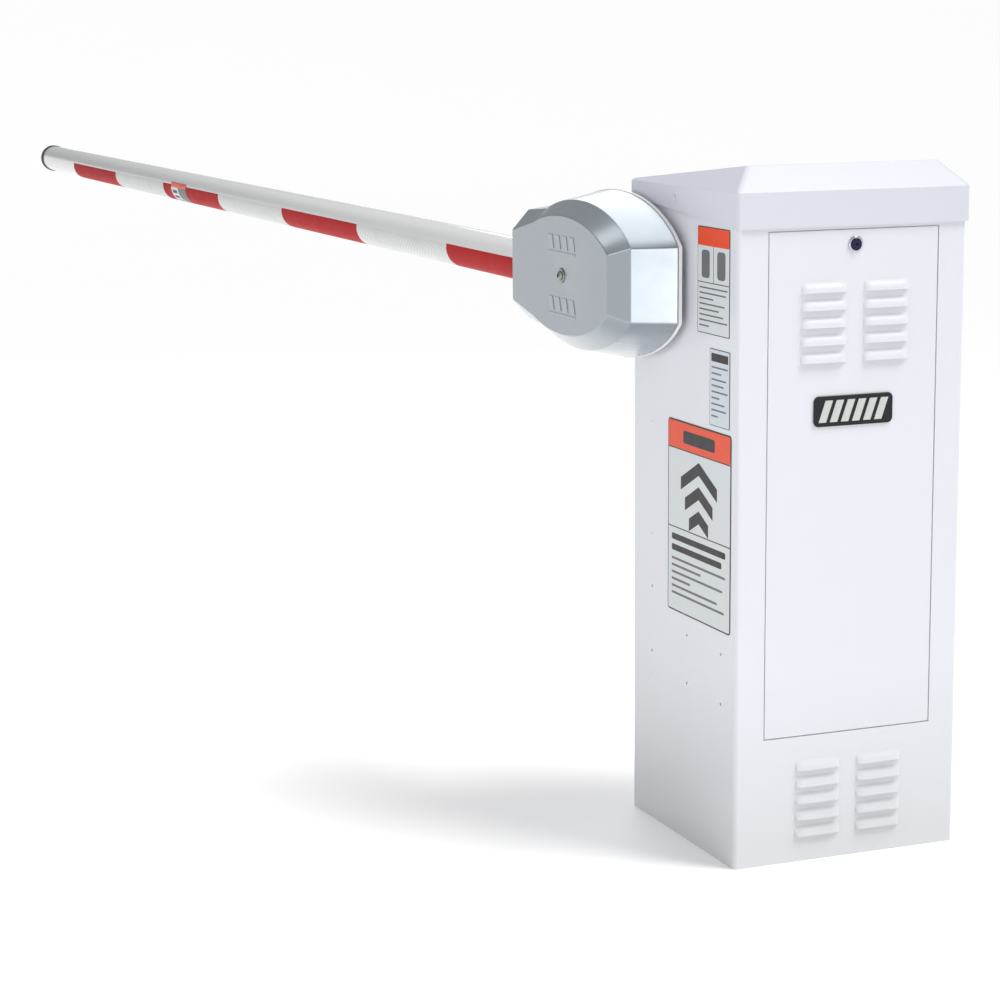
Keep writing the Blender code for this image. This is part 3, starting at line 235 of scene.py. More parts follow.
def powder_coat(name, colour, low_shade_and_dust=0.20, coat=0.25, specular=0.5):
    """Gloss powder coat: orange-peel relief, faint cloudiness, painted shade and dust low down."""
    look = Finish(name, colour, 0.25, coat=coat, coat_roughness=0.12, specular=specular)
    look.tint(look.spread(look.noise(2.3, 1), 0.35, 0.75, 0.0, 0.35), shade(colour, 0.965))
    height = look.axes(look.place.outputs["Object"])["Z"]
    # painted shade: an even grey darkening over the lowest 0.28 m, standing in for light falling off near
    # the floor
    look.tint(look.spread(height, 0.28, 0.03, 0.0, low_shade_and_dust * 2.2), (0.52, 0.53, 0.53))
    # dust: brownish patches broken up by noise, low down
    low_down = look.spread(height, 0.10, 0.0)
    patch = look.maths("MULTIPLY", low_down, look.noise(14, 5, 0.62), clamp=True)
    look.tint(look.maths("MULTIPLY", patch, low_shade_and_dust), (0.55, 0.53, 0.48))
    look.rough(look.noise(7, 2), 0.215, 0.262)
    look.bump(look.noise(420, 2, 0.45), 0.00006, 0.5)
    look.bump(look.noise(6, 0), 0.0006, 0.15)
    return look.mat


def hub_paint():
    """Satin silver paint on a moulded cover: fine flake and a soft peel."""
    look = Finish("hub_silver_paint", (0.325, 0.365, 0.395), 0.25, 0.62, coat=0.12, coat_roughness=0.2)
    flake = look.cells(1700)
    look.tint(look.spread(flake, 0.10, 0.55, 0.0, 0.25), (0.46, 0.50, 0.54))
    look.tint(look.spread(look.noise(5, 3), 0.4, 0.75, 0.0, 0.20), (0.32, 0.355, 0.39))
    look.rough(look.noise(11, 4), 0.21, 0.262)
    look.bump(look.noise(650, 2), 0.00005, 0.4)
    return look.worn_edges((0.70, 0.73, 0.76), 0.45).mat


def boom_paint():
    """White gloss on extruded tube, with faint drawing streaks along its length."""
    look = Finish("boom_white_paint", (0.80, 0.805, 0.80), 0.24, coat=0.45, coat_roughness=0.06)
    streak = look.noise(90, 3, 0.5, (1, 0.02, 1))
    look.tint(look.spread(streak, 0.45, 0.75, 0.0, 0.25), (0.72, 0.73, 0.73))
    look.rough(streak, 0.19, 0.262)
    look.bump(streak, 0.00006, 0.5)
    look.bump(look.noise(520, 2), 0.00005, 0.4)
    return look.mat


def prismatic_tape(name, colour, line_colour, metallic, gloss):
    """Reflective tape: a diamond lattice of sealed cells under a clear film."""
    look = Finish(name, colour, 0.34, metallic, coat=gloss * 0.5, specular=gloss)
    flat = look.axes(look.coords(source="UV"))
    per_metre_across, per_metre_along, ridge_share = 120.0, 70.0, 0.16
    ridges = []
    for sign in (1.0, -1.0):
        across = look.maths("MULTIPLY", flat["X"], per_metre_across)
        along = look.maths("MULTIPLY", flat["Y"], sign * per_metre_along)
        wave = look.maths("PINGPONG", look.maths("ADD", across, along), 0.5)
        ridges.append(look.spread(wave, 0.0, ridge_share, 1.0, 0.0))
    lattice = look.maths("MAXIMUM", *ridges)
    look.tint(look.maths("MULTIPLY", lattice, 0.75), line_colour)
    look.tint(look.spread(look.noise(22, 4), 0.45, 0.8, 0.0, 0.3), shade(colour, 0.82))
    look.rough(look.noise(40, 4), 0.40, 0.52)
    look.bump(lattice, 0.00012, 0.6)
    return look.mat


def metal(name, colour, rough_low, rough_high, grain=(1, 1, 1), blotch=None):
    """Bare or plated metal with grain, blotches and bright ridges."""
    look = Finish(name, colour, rough_low, 1.0)
    lines = look.noise(260, 4, 0.6, grain)
    look.tint(look.spread(lines, 0.35, 0.7, 0.0, 0.4), shade(colour, 0.78))
    if blotch:
        look.tint(look.spread(look.noise(30, 5, 0.65), 0.48, 0.72, 0.0, 0.6), blotch)
    look.rough(look.noise(45, 4), rough_low, rough_high)
    look.bump(lines, 0.00004, 0.5)
    return look.worn_edges(tuple(min(1.0, c * 1.25) for c in colour), 0.6).mat


def casting(name, colour, metallic, roughness, depth, worn):
    """A sand-cast surface under paint, or bare."""
    look = Finish(name, colour, roughness, metallic)
    grain = look.noise(330, 5, 0.65)
    look.tint(look.spread(grain, 0.4, 0.7, 0.0, 0.45), shade(colour, 0.7))
    look.tint(look.spread(look.noise(16, 5, 0.6), 0.5, 0.75, 0.0, 0.3), shade(colour, 1.25))
    look.rough(grain, roughness - 0.08, roughness + 0.14)
    look.bump(grain, depth, 0.8)
    return look.worn_edges(worn, 0.7).mat


def moulded(name, colour, roughness, scale=900):
    """Spark-textured plastic or rubber."""
    look = Finish(name, colour, roughness)
    grain = look.cells(scale)
    look.tint(look.spread(look.noise(25, 4), 0.4, 0.75, 0.0, 0.5), shade(colour, 1.7, 0.004))
    look.rough(look.noise(70, 4), roughness - 0.08, roughness + 0.12)
    look.bump(grain, 0.00005, 0.7)
    return look.worn_edges(shade(colour, 2.4, 0.02)).mat


def vinyl(name, colour, metallic=0.0, gloss=0.30):
    """Printed label stock: slight ripples, a clear film and a little soiling."""
    look = Finish(name, colour, gloss, metallic, coat=0.12, coat_roughness=0.12, specular=0.25)
    look.tint(look.spread(look.noise(38, 5, 0.65), 0.5, 0.8, 0.0, 0.22), shade(colour, 0.86))
    look.rough(look.noise(55, 3), gloss, gloss + 0.10)
    look.bump(look.noise(48, 2), 0.00012, 0.35)
    return look.mat


def circuit_laminate():
    """Green laminate with tracks; what stands off the board is dark moulded housing."""
    look = Finish("board_laminate", (0.03, 0.20, 0.09), 0.38, coat=0.3, coat_roughness=0.15)
    place = look.axes(look.place.outputs["Object"])
    tracks_per_metre = 180.0
    track = look.maths("PINGPONG", look.maths("MULTIPLY", place["Z"], tracks_per_metre), 0.5)
    gap = look.spread(look.noise(55, 1), 0.47, 0.50)
    line = look.maths("MULTIPLY", look.spread(track, 0.34, 0.38), gap)
    look.tint(look.maths("MULTIPLY", line, 0.6), (0.10, 0.36, 0.16))
    board_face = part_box("circuit_board")[1].x
    standing = look.spread(place["X"], board_face - 0.0021, board_face - 0.0024)
    look.tint(standing, (0.035, 0.04, 0.05))
    look.rough(look.noise(60, 3), 0.30, 0.48)
    look.bump(line, 0.00006, 0.6)
    return look.mat


WHITE = powder_coat("cabinet_powder_coat", (0.725, 0.745, 0.795))
# painted shade: the cabinet's white powder coat again, painted darker and slightly bluer so the hood reads
# shaded
SHADED_HOOD_WHITE = powder_coat("hood_powder_coat_painted_shade", (0.655, 0.67, 0.735), low_shade_and_dust=0.0, coat=0.0, specular=0.2)
HUB_PAINT = hub_paint()
PLATE_PAINT = powder_coat("hub_plate_coat", (0.84, 0.85, 0.86), low_shade_and_dust=0.0)
BOOM = boom_paint()
RED_TAPE = prismatic_tape("red_tape", (0.44, 0.020, 0.022), (0.48, 0.040, 0.040), 0.0, 0.02)
SILVER_TAPE = prismatic_tape("silver_tape", (0.57, 0.59, 0.585), (0.88, 0.89, 0.89), 0.30, 0.50)
ZINC = metal("zinc_plate", (0.66, 0.66, 0.63), 0.28, 0.44, blotch=(0.58, 0.56, 0.47))
ZINC_DARK = metal("zinc_dark", (0.34, 0.37, 0.33), 0.29, 0.38, blotch=(0.20, 0.22, 0.18))
BRIGHT = metal("ground_steel", (0.62, 0.63, 0.64), 0.17, 0.262, grain=(1, 0.05, 0.05))
CHROME = metal("lock_chrome", (0.55, 0.56, 0.60), 0.06, 0.14)
KEY_PLUG = metal("lock_plug_dark", (0.030, 0.035, 0.075), 0.12, 0.22)
CAST = casting("cast_aluminium", (0.60, 0.61, 0.62), 0.9, 0.46, 0.00014, (0.80, 0.81, 0.82))
IRON = casting("painted_iron", (0.045, 0.10, 0.17), 0.0, 0.42, 0.00022, (0.22, 0.24, 0.26))
MOTOR = casting("motor_enamel", (0.13, 0.14, 0.15), 0.0, 0.40, 0.00012, (0.30, 0.31, 0.32))
RUBBER = moulded("end_cap_rubber", (0.030, 0.032, 0.020), 0.55)
BELT = moulded("belt_rubber", (0.018, 0.018, 0.018), 0.66, 1400)
PLASTIC = moulded("black_plastic", (0.022, 0.023, 0.026), 0.42)
BADGE = vinyl("badge_charcoal", (0.012, 0.013, 0.015))
BADGE_SILVER = metal("badge_silver", (0.66, 0.68, 0.66), 0.29, 0.36)
LABEL_WHITE = vinyl("label_white", (0.66, 0.70, 0.72))
LABEL_SILVER = vinyl("label_silver", (0.60, 0.66, 0.72), 0.35)
LABEL_ORANGE = vinyl("label_orange", (0.80, 0.070, 0.014))
LABEL_INK = vinyl("label_ink", (0.022, 0.019, 0.020), gloss=0.38)
LABEL_GREY = vinyl("label_grey", (0.15, 0.155, 0.165), gloss=0.38)
BOARD = circuit_laminate()


# ---------------------------------------------------------------- shape helpers
def fresh(name, bm):
    mesh = bpy.data.meshes.new(name)
    bm.to_mesh(mesh)
    bm.free()
    obj = bpy.data.objects.new(name, mesh)
    bpy.context.scene.collection.objects.link(obj)
    return obj


def bake(obj):
    """Applies an object's modifiers."""
    graph = bpy.context.evaluated_depsgraph_get()
    mesh = bpy.data.meshes.new_from_object(obj.evaluated_get(graph))
    obj.modifiers.clear()
    obj.data = mesh


def carve(obj, *tools):
    """Subtracts closed shapes from an object and removes them."""
    for tool in tools:
        step = obj.modifiers.new(tool.name, "BOOLEAN")
        step.operation = "DIFFERENCE"
        step.solver = "EXACT"
        step.object = tool
    bake(obj)
    for tool in tools:
        bpy.data.objects.remove(tool, do_unlink=True)


def gather(obj, others):
    """Moves other objects' faces into this one."""
    bm = bmesh.new()
    bm.from_mesh(obj.data)
    for other in others:
        bake(other)
        bm.from_mesh(other.data)
        bpy.data.objects.remove(other, do_unlink=True)
    bm.to_mesh(obj.data)
    bm.free()


def soften(obj, width, segments=2, angle=30):
    step = obj.modifiers.new("soft_edges", "BEVEL")
    step.width = width
    step.segments = segments
    step.limit_method = "ANGLE"
    step.angle_limit = radians(angle)
    step.use_clamp_overlap = True
    return obj


def thicken(obj, wall):
    step = obj.modifiers.new("sheet", "SOLIDIFY")
    step.thickness = wall
    step.offset = -1
    return obj


def finish(obj, mat, body, replaces=(), sharp=32):
    """Gives a piece its material, smooth shading and the CAD body it moves with."""
    bake(obj)
    obj.data.materials.clear()
    obj.data.materials.append(mat)
    obj.data.shade_smooth()
    obj.data.set_sharp_from_angle(angle=radians(sharp))
    even = obj.modifiers.new("even_normals", "WEIGHTED_NORMAL")
    even.keep_sharp = True
    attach(obj, body)
    if replaces:
        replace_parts(obj, *replaces)
    return obj


def rings(name, loops, cap=False):
    """A skin through loops of equal length; the last loop may be closed with a face."""
    bm = bmesh.new()
    rows = [[bm.verts.new(p) for p in loop] for loop in loops]
    count = len(loops[0])
    for low, high in zip(rows, rows[1:]):
        for i in range(count):
            j = (i + 1) % count
            bm.faces.new((low[i], low[j], high[j], high[i]))
    if cap:
        bm.faces.new(rows[-1])
    return fresh(name, bm)


def slab(name, loop, place, low, high):
    """A closed flat shape: a 2D loop lifted from low to high, where place makes a 3D point."""
    bm = bmesh.new()
    bottom = [bm.verts.new(place(u, v, low)) for u, v in loop]
    top = [bm.verts.new(place(u, v, high)) for u, v in loop]
    count = len(loop)
    for i in range(count):
        j = (i + 1) % count
        bm.faces.new((bottom[i], bottom[j], top[j], top[i]))
    bm.faces.new(list(reversed(bottom)))
    bm.faces.new(top)
    bmesh.ops.recalc_face_normals(bm, faces=bm.faces)
    return fresh(name, bm)


def box(name, lo, hi):
    loop = [(lo[0], lo[1]), (hi[0], lo[1]), (hi[0], hi[1]), (lo[0], hi[1])]
    return slab(name, loop, lambda u, v, w: (u, v, w), lo[2], hi[2])


def lathe(name, profile, origin, direction, steps=64):
    """A turned shape: (radius, height) points swept round a line."""
    turn = Vector(direction).to_track_quat("Z", "Y").to_matrix()
    bm = bmesh.new()
    rows = []
    for radius, height in profile:
        ring = [(radius * cos(2 * pi * i / steps), radius * sin(2 * pi * i / steps), height)
                for i in range(steps)]
        rows.append([bm.verts.new(Vector(origin) + turn @ Vector(p)) for p in ring])
    for low, high in zip(rows, rows[1:]):
        for i in range(steps):
            j = (i + 1) % steps
            bm.faces.new((low[i], low[j], high[j], high[i]))
    bmesh.ops.remove_doubles(bm, verts=bm.verts, dist=0.0000005)
    bmesh.ops.recalc_face_normals(bm, faces=bm.faces)
    return fresh(name, bm)


def rod(name, start, end, radius, steps=32):
    """A closed bar, used for cutting round holes."""
    long = (Vector(end) - Vector(start)).length
    profile = [(0, long), (radius, long), (radius, 0), (0, 0)]
    return lathe(name, profile, start, Vector(end) - Vector(start), steps)


def bore(name, place, axis, radius, deep=(CUT_PAST, CUT_PAST), steps=32):
    """A bar for a round hole at a place: it starts and ends at two distances along an axis."""
    start, end = list(place), list(place)
    start[axis] -= deep[0]
    end[axis] += deep[1]
    return rod(name, start, end, radius, steps)


def quarter(steps):
    """Angles from 0 to 90 degrees."""
    return [pi / 2 * i / steps for i in range(steps + 1)]


def round_rect(u0, u1, v0, v1, radius, steps=6):
    loop = []
    for k, (cu, cv) in enumerate(((u1 - radius, v1 - radius), (u0 + radius, v1 - radius),
                                  (u0 + radius, v0 + radius), (u1 - radius, v0 + radius))):
        for i in range(steps + 1):
            a = pi / 2 * (k + i / steps)
            loop.append((cu + radius * cos(a), cv + radius * sin(a)))
    return loop


def on_left(u, v, w):
    """A point on the cabinet's left wall: u along +Y, v up, w out."""
    return (LEFT_X - w, u, v)


def on_front(u, v, w):
    """A point on the door's face: u along +X, v up, w out."""
    return (u, FRONT_Y - w, v)


def on_hub(u, v, w):
    """A point on the hub cover's face: u along +Y, v up, w out."""
    return (HUB_FACE_X - w, u, v)


# ---------------------------------------------------------------- cabinet
def louvre(name, mid_x, low_z):
    """One pressed louvre: full and open along its lower lip, round-ended, running out at the top."""
    across, rise, sink, pressed = 40, 12, 0.0003, 0.0012
    half = LOUVRE_WIDE / 2
    bm = bmesh.new()
    grid = []
    for j in range(rise + 1):
        v = j / rise
        row = []
        for i in range(across + 1):
            u = -half * cos(pi * i / across)
            near_end = max(0.0, 1.0 - (half - abs(u)) / LOUVRE_END)
            swell = sqrt(max(0.0, 1.0 - near_end ** 2)) * (0.5 + 0.5 * cos(pi * v ** 1.15))
            out = (LOUVRE_OUT + sink) * swell - sink
            row.append(bm.verts.new((mid_x + u, FRONT_Y - out, low_z + v * LOUVRE_HIGH)))
        grid.append(row)
    for low, high in zip(grid, grid[1:]):
        for i in range(across):
            bm.faces.new((low[i], low[i + 1], high[i + 1], high[i]))
    return thicken(fresh(name, bm), pressed)


def with_louvres(sheet, top_z, wall):
    """Cuts the air slots through a sheet and adds the louvres over them."""
    slots, hoods = [], []
    half, past = LOUVRE_WIDE / 2 - 0.010, 0.002
    for column, mid_x in enumerate(LOUVRE_X):
        for row in range(LOUVRE_COUNT):
            low_z = top_z - row * LOUVRE_PITCH
            slots.append(box(f"slot_{column}_{row}", (mid_x - half, FRONT_Y - past, low_z + 0.0015),
                             (mid_x + half, FRONT_Y + wall + past, low_z + 0.010)))
            hoods.append(louvre(f"louvre_{column}_{row}", mid_x, low_z))
    carve(sheet, *slots)
    gather(sheet, hoods)


def cabinet():
    """The wrapped body with its doorway, louvres and holes."""
    w, d = CAB_W / 2, CAB_D / 2
    past = 2 * CUT_PAST
    loop = round_rect(-w, w, -d, d, CAB_BEND, 8)
    shell = rings("cabinet_skin", [[(x, y, z) for x, y in loop] for z in (0.0, CAB_TOP)])
    thicken(shell, CAB_WALL)
    bake(shell)
    tools = [box("doorway", (DOOR_X[0] - DOOR_SEAM, -d - past, DOOR_Z[0] - DOOR_SEAM),
                 (DOOR_X[1] + DOOR_SEAM, -d + past, DOOR_Z[1] + DOOR_SEAM)),
             bore("shaft_hole", (-w, ARM_AXIS_Y, ARM_AXIS_Z), 0, SHAFT_HOLE_R, (CUT_PAST, past))]
    for i, (y, z) in enumerate(SPARE_HOLES):
        tools.append(bore(f"hole_{i}", (-w, y, z), 0, SPARE_HOLE_R, steps=16))
    carve(shell, *tools)
    soften(shell, 0.0005, 2, 40)
    bake(shell)
    with_louvres(shell, SILL_LOUVRE_Z, CAB_WALL)
    finish(shell, WHITE, "cabinet", ["cabinet_shell"])


def rivet_marks():
    """Low domed rivet heads down the left wall's back edge, painted over."""
    dome = [(0, 0.0007), (0.0014, 0.0006), (0.0024, 0.0003), (0.0028, -0.0004)]
    for i, z in enumerate(RIVET_HEIGHTS):
        head = lathe(f"wall_rivet_{i}", dome, on_left(RIVET_Y, z, 0.0), (-1, 0, 0), 24)
        finish(head, WHITE, "cabinet", sharp=60)


def hood_loop(z_front, z_back):
    """The skirt's outline at one level, which may tilt from front to back."""
    half_x, half_y = CAB_W / 2 + HOOD_OVER, CAB_D / 2 + HOOD_OVER
    return [(x, y, z_front + (z_back - z_front) * (y + half_y) / (2 * half_y))
            for x, y in round_rect(-half_x, half_x, -half_y, half_y, CAB_BEND, 8)]


def roof_loop():
    """The roof's edge: drawn in at the front ridge, and down near the skirt at the back."""
    half_y = CAB_D / 2 + HOOD_OVER
    front, back = HOOD_INSET_Y - half_y, half_y - HOOD_INSET_BACK
    loop = []
    for x, y, _ in hood_loop(0, 0):
        share = (y + half_y) / (2 * half_y)
        inward = HOOD_INSET_X + (HOOD_INSET_BACK - HOOD_INSET_X) * share
        y += HOOD_INSET_Y if y < 0 else -HOOD_INSET_BACK
        fall = (HOOD_TOP - HOOD_BACK_TOP) * (y - front) / (back - front)
        loop.append((x - copysign(inward, x), y, HOOD_TOP - fall))
    return loop


def hood():
    """Folded cap whose roof falls from a front ridge to the back, with its folds rounded."""
    cap = rings("hood_skin", [hood_loop(HOOD_LOW_FRONT, HOOD_LOW_BACK), hood_loop(HOOD_FOLD, HOOD_FOLD),
                              roof_loop()], cap=True)
    soften(cap, 0.0028, 4, 4)
    thicken(cap, HOOD_WALL)
    soften(cap, 0.0004, 2, 50)
    bake(cap)
    for side in (-1, 1):
        outer = side * (CAB_W / 2 + HOOD_OVER)
        carve(cap, bore("hood_hole", (outer, *HOOD_SCREW), 0, HOOD_HOLE_R, (0.006, 0.006), 24))
    # the hood takes the darker copy of the cabinet white, which is painted shade
    finish(cap, SHADED_HOOD_WHITE, "cabinet", ["hood"], sharp=40)


# ---------------------------------------------------------------- door
def door():
    """Louvred door sheet with rounded edges."""
    sheet = box("door_skin", (DOOR_X[0], FRONT_Y, DOOR_Z[0]), (DOOR_X[1], FRONT_Y + DOOR_WALL, DOOR_Z[1]))
    carve(sheet, bore("lock_hole", (LOCK[0], FRONT_Y, LOCK[1]), 1, LOCK_HOLE_R))
    soften(sheet, 0.0007, 3)
    bake(sheet)
    with_louvres(sheet, DOOR_LOUVRE_Z, DOOR_WALL)
    finish(sheet, WHITE, "door", ["access_door"])


def badge():
    """Charcoal badge with a plain row of raised slanted bars."""
    (x0, y0, z0), (x1, _, z1) = (tuple(c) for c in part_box("door_nameplate"))
    proud = FRONT_Y - y0
    plate = slab("badge_plate", round_rect(x0, x1, z0, z1, 0.008), on_front, 0.0003, proud - 0.0006)
    finish(soften(plate, 0.0007, 3), BADGE, "door", ["door_nameplate"])
    mid = (z0 + z1) / 2
    low, high = proud - 0.0010, proud - 0.0001
    half, lean, wide = (z1 - z0) * 0.36, 0.0055, 0.0122
    first_bar, bar_pitch, bar_count = 0.0128, 0.0180, 6
    for i in range(bar_count):
        x = x0 + first_bar + i * bar_pitch
        bar = [(x - lean, mid - half), (x - lean + wide, mid - half),
               (x + lean + wide, mid + half), (x + lean, mid + half)]
        strip = soften(slab(f"badge_bar_{i}", bar, on_front, low, high), 0.0003)
        finish(strip, BADGE_SILVER, "door")


def lock():
    """Cam lock: domed chrome bezel and a dark plug with its keyway."""
    mid = (LOCK[0], FRONT_Y, LOCK[1])
    dome = [(0.0100 + 0.0015 * cos(a), 0.0016 + 0.0011 * sin(a)) for a in quarter(6)]
    profile = [(0.0087, 0.0022), (0.0090, 0.0026), *reversed(dome), (0.0115, 0.0003), (0.0093, 0.0003),
               (0.0093, -0.0072), (0.0065, -0.0072), (0.0065, -0.0014), (0.0087, -0.0014), (0.0087, 0.0022)]
    bezel = lathe("lock_bezel", profile, mid, (0, -1, 0))
    finish(bezel, CHROME, "door", ["lock_housing"])
    plug = lathe("key_plug", [(0, 0.0031), (0.0078, 0.0031), (0.0084, 0.0025), (0.0084, -0.0010),
                              (0.0062, -0.0010), (0.0062, -0.0078), (0.0038, -0.0078),
                              (0.0038, -0.0105), (0, -0.0105)], mid, (0, -1, 0), 48)
    near, bottom, half_long, half_high = FRONT_Y - 0.006, FRONT_Y - 0.0005, 0.0036, 0.0006
    carve(plug, box("keyway", (LOCK[0] - half_long, near, LOCK[1] - half_high),
                    (LOCK[0] + half_long, bottom, LOCK[1] + half_high)),
          rod("keyway_middle", (LOCK[0], near, LOCK[1]), (LOCK[0], bottom, LOCK[1]), 0.0015, 20))
    finish(soften(plug, 0.0002), KEY_PLUG, "lock", ["lock_plug"])


# ---------------------------------------------------------------- labels
LABEL_BASE = 0.0003          # underside of the lowest layer above the wall
LABEL_STEP = 0.00012         # from one layer to the next
LABEL_THICK = 0.00034


def printed(name, loop, mat, layer):
    """A thin printed or stuck-on shape; a higher layer lies over a lower one."""
    base = LABEL_BASE + layer * LABEL_STEP
    return finish(slab(name, loop, on_left, base, base + LABEL_THICK), mat, "cabinet")


def panel(name, u0, u1, v0, v1, mat, layer, corner):
    """A printed rectangle with round corners."""
    return printed(name, round_rect(u0, u1, v0, v1, corner, 4), mat, layer)


def label_base(node, name, mat, border, corner):
    """A label's ink border with its field inside; gives the field's corners."""
    (_, y0, z0), (_, y1, z1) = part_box(node)
    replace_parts(panel(name + "_edge", y0, y1, z0, z1, LABEL_INK, 0, corner), node)
    inside = (y0 + border, y1 - border, z0 + border, z1 - border)
    panel(name + "_field", *inside, mat, 1, max(corner - border, 0.0006))
    return inside


def rules(name, y0, y1, top, pitch, shares, thick, mat=LABEL_GREY):
    """Plain printed rules, one under another, each some share of the full width."""
    for i, share in enumerate(shares):
        z = top - i * pitch
        panel(f"{name}_{i}", y1 - (y1 - y0) * share, y1, z - thick, z, mat, 2, thick * 0.3)


def chevron(name, y, z, reach):
    """A wide dark chevron that points up."""
    thick, rise = 0.019, reach * 0.5
    foot = z - rise
    loop = [(y - reach, foot), (y, z), (y + reach, foot),
            (y + reach, foot + thick), (y, z + thick), (y - reach, foot + thick)]
    printed(name, loop, LABEL_INK, 2)


def large_label():
    """An orange band with a plain bar, three chevrons, and rules below."""
    y0, y1, z0, z1 = label_base("safety_label", "large_label", LABEL_WHITE, 0.0022, 0.006)
    band, line = z1 - 0.040, z1 - 0.0415
    panel("large_label_band", y0, y1, band, z1, LABEL_ORANGE, 2, 0.0030)
    panel("large_label_band_line", y0, y1, line, band, LABEL_INK, 3, 0.0003)
    divide = z0 + (z1 - z0) * 0.44
    panel("large_label_divider", y0, y1, divide - 0.0008, divide + 0.0008, LABEL_INK, 2, 0.0003)
    middle, across = (divide + line) / 2, (y0 + y1) / 2
    panel("large_label_bar", across - 0.052, across + 0.052, z1 - 0.030, z1 - 0.011, LABEL_INK, 3, 0.004)
    for i, reach in enumerate((0.060, 0.046, 0.032)):
        chevron(f"large_label_chevron_{i}", across, middle + 0.030 - i * 0.036, reach)
    rules("large_label_bold", y0 + 0.014, y1 - 0.012, divide - 0.010, 0.0165, (1.0, 0.93), 0.0095, LABEL_INK)
    rules("large_label_rule", y0 + 0.014, y1 - 0.012, divide - 0.046, 0.0105,
          (1.0, 0.55, 0.95, 0.35, 0.85, 0.98), 0.0036)


def upper_label():
    """An orange band, two plain blocks side by side, and rules below."""
    y0, y1, _, z1 = label_base("upper_label", "upper_label", LABEL_WHITE, 0.0012, 0.002)
    band = z1 - 0.026
    panel("upper_label_band", y0, y1, band, z1, LABEL_ORANGE, 2, 0.0012)
    panel("upper_label_line", y0, y1, z1 - 0.079, z1 - 0.0778, LABEL_INK, 2, 0.0003)
    middle = (y0 + y1) / 2
    panel("upper_label_split", middle - 0.0005, middle + 0.0005, z1 - 0.078, band, LABEL_INK, 2, 0.0002)
    for i, centre in enumerate(((y0 + middle) / 2, (y1 + middle) / 2)):
        panel(f"upper_label_block_{i}", centre - 0.013, centre + 0.013, z1 - 0.072, z1 - 0.032,
              LABEL_GREY, 2, 0.006)
    rules("upper_label_rule", y0 + 0.005, y1 - 0.005, z1 - 0.085, 0.0078,
          (1.0, 0.95, 0.5, 0.9, 0.7, 0.85, 1.0, 0.35), 0.0022)


def rating_label():
    """A plain dark block over rules of different lengths."""
    y0, y1, _, z1 = label_base("rating_label", "rating_label", LABEL_SILVER, 0.0010, 0.002)
    panel("rating_label_block", y0 + 0.004, y1 - 0.004, z1 - 0.017, z1 - 0.005, LABEL_INK, 2, 0.0012)
    rules("rating_label_rule", y0 + 0.005, y1 - 0.005, z1 - 0.024, 0.0088,
          (1.0, 0.6, 0.9, 0.75, 1.0, 0.5, 0.8, 0.9, 0.4), 0.0024)


# ---------------------------------------------------------------- hub
def hub_loop(x, shape, grow=0.0):
    """The hub's outline at one depth: an oval cut flat at the back, with a tapering nose."""
    half_long, half_high, flat, nose = (value + grow for value in shape)
    first, last, steps = radians(55), pi - acos(flat / half_long), 96
    upper = [(HUB_NOSE_Y + grow, nose)]
    for i in range(steps + 1):
        a = first + (last - first) * i / steps
        upper.append((HUB_Y + half_long * cos(a), half_high * sin(a)))
    outline = upper + [(y, -z) for y, z in reversed(upper)]
    return [(x, y, ARM_AXIS_Z + z) for y, z in reversed(outline)]


def raised(name, loop):
    """A plain shape moulded into the hub's face."""
    finish(soften(slab(name, loop, on_hub, -0.0004, 0.0010), 0.0005), HUB_PAINT, "arm")


def hub():
    """Bevelled cover, back plate, two plain raised marks, and the central screw."""
    mid = (HUB_FACE_X, HUB_Y, ARM_AXIS_Z)
    cover = rings("hub_cover_skin", [hub_loop(HUB_RIM_X, HUB_RIM), hub_loop(HUB_EDGE_X, HUB_EDGE),
                                     hub_loop(HUB_FACE_X, HUB_FACE)], cap=True)
    soften(cover, 0.0014, 3, 4.5)
    thicken(cover, HUB_WALL)
    bake(cover)
    past, arm_gap = (2 * CUT_PAST, 2 * CUT_PAST), 0.0016
    carve(cover, bore("arm_hole", (ARM_X, HUB_NOSE_Y, ARM_AXIS_Z), 1, ARM_R + arm_gap, past, 64),
          bore("screw_hole", mid, 0, COVER_HOLE_R))
    finish(cover, HUB_PAINT, "arm", ["hub_cover"], sharp=24)

    (outer_x, inner_x), rim = HUB_PLATE_X, -0.012
    levels = ((inner_x, rim), (inner_x, 0.0), (outer_x, 0.0), (outer_x, rim))
    back = rings("hub_back_plate", [hub_loop(x, HUB_PLATE, grow) for x, grow in levels], cap=True)
    finish(soften(back, 0.0006), PLATE_PAINT, "arm", ["hub_plate"])

    for name, side in (("hub_mark_upper", 1), ("hub_mark_lower", -1)):
        z = ARM_AXIS_Z + side * HUB_MARK_UP
        for i in range(4):
            y = HUB_Y + (i - 1.5) * 0.027
            bar = [(y - 0.0110, z - 0.0080), (y + 0.0050, z - 0.0080),
                   (y + 0.0110, z + 0.0130), (y - 0.0050, z + 0.0130)]
            raised(f"{name}_{i}", bar)
        raised(f"{name}_rule", round_rect(HUB_Y - 0.052, HUB_Y + 0.052, z - 0.0155, z - 0.0115, 0.0012))

    washer = lathe("hub_washer", [(0.0036, 0.0003), (0.0036, 0.0022), (0.0103, 0.0022), (0.0112, 0.0017),
                                  (0.0115, 0.0010), (0.0115, 0.0003), (0.0036, 0.0003)], mid, (-1, 0, 0))
    finish(soften(washer, 0.0002), ZINC_DARK, "arm", ["cover_washer"])
    head = [(0.0072 * cos(a), 0.0025 + 0.0045 * sin(a)) for a in quarter(8)[:-1]]
    shank = [(0.0030, 0.0025), (0.0030, -0.0120), (0, -0.0120)]
    screw = lathe("hub_screw", [(0, 0.0070), *reversed(head), *shank], mid, (-1, 0, 0))
    carve(screw, bore("hex_socket", mid, 0, 0.0034, (0.012, -0.0035), 6))
    finish(soften(screw, 0.0002), ZINC_DARK, "arm", ["cover_screw"])


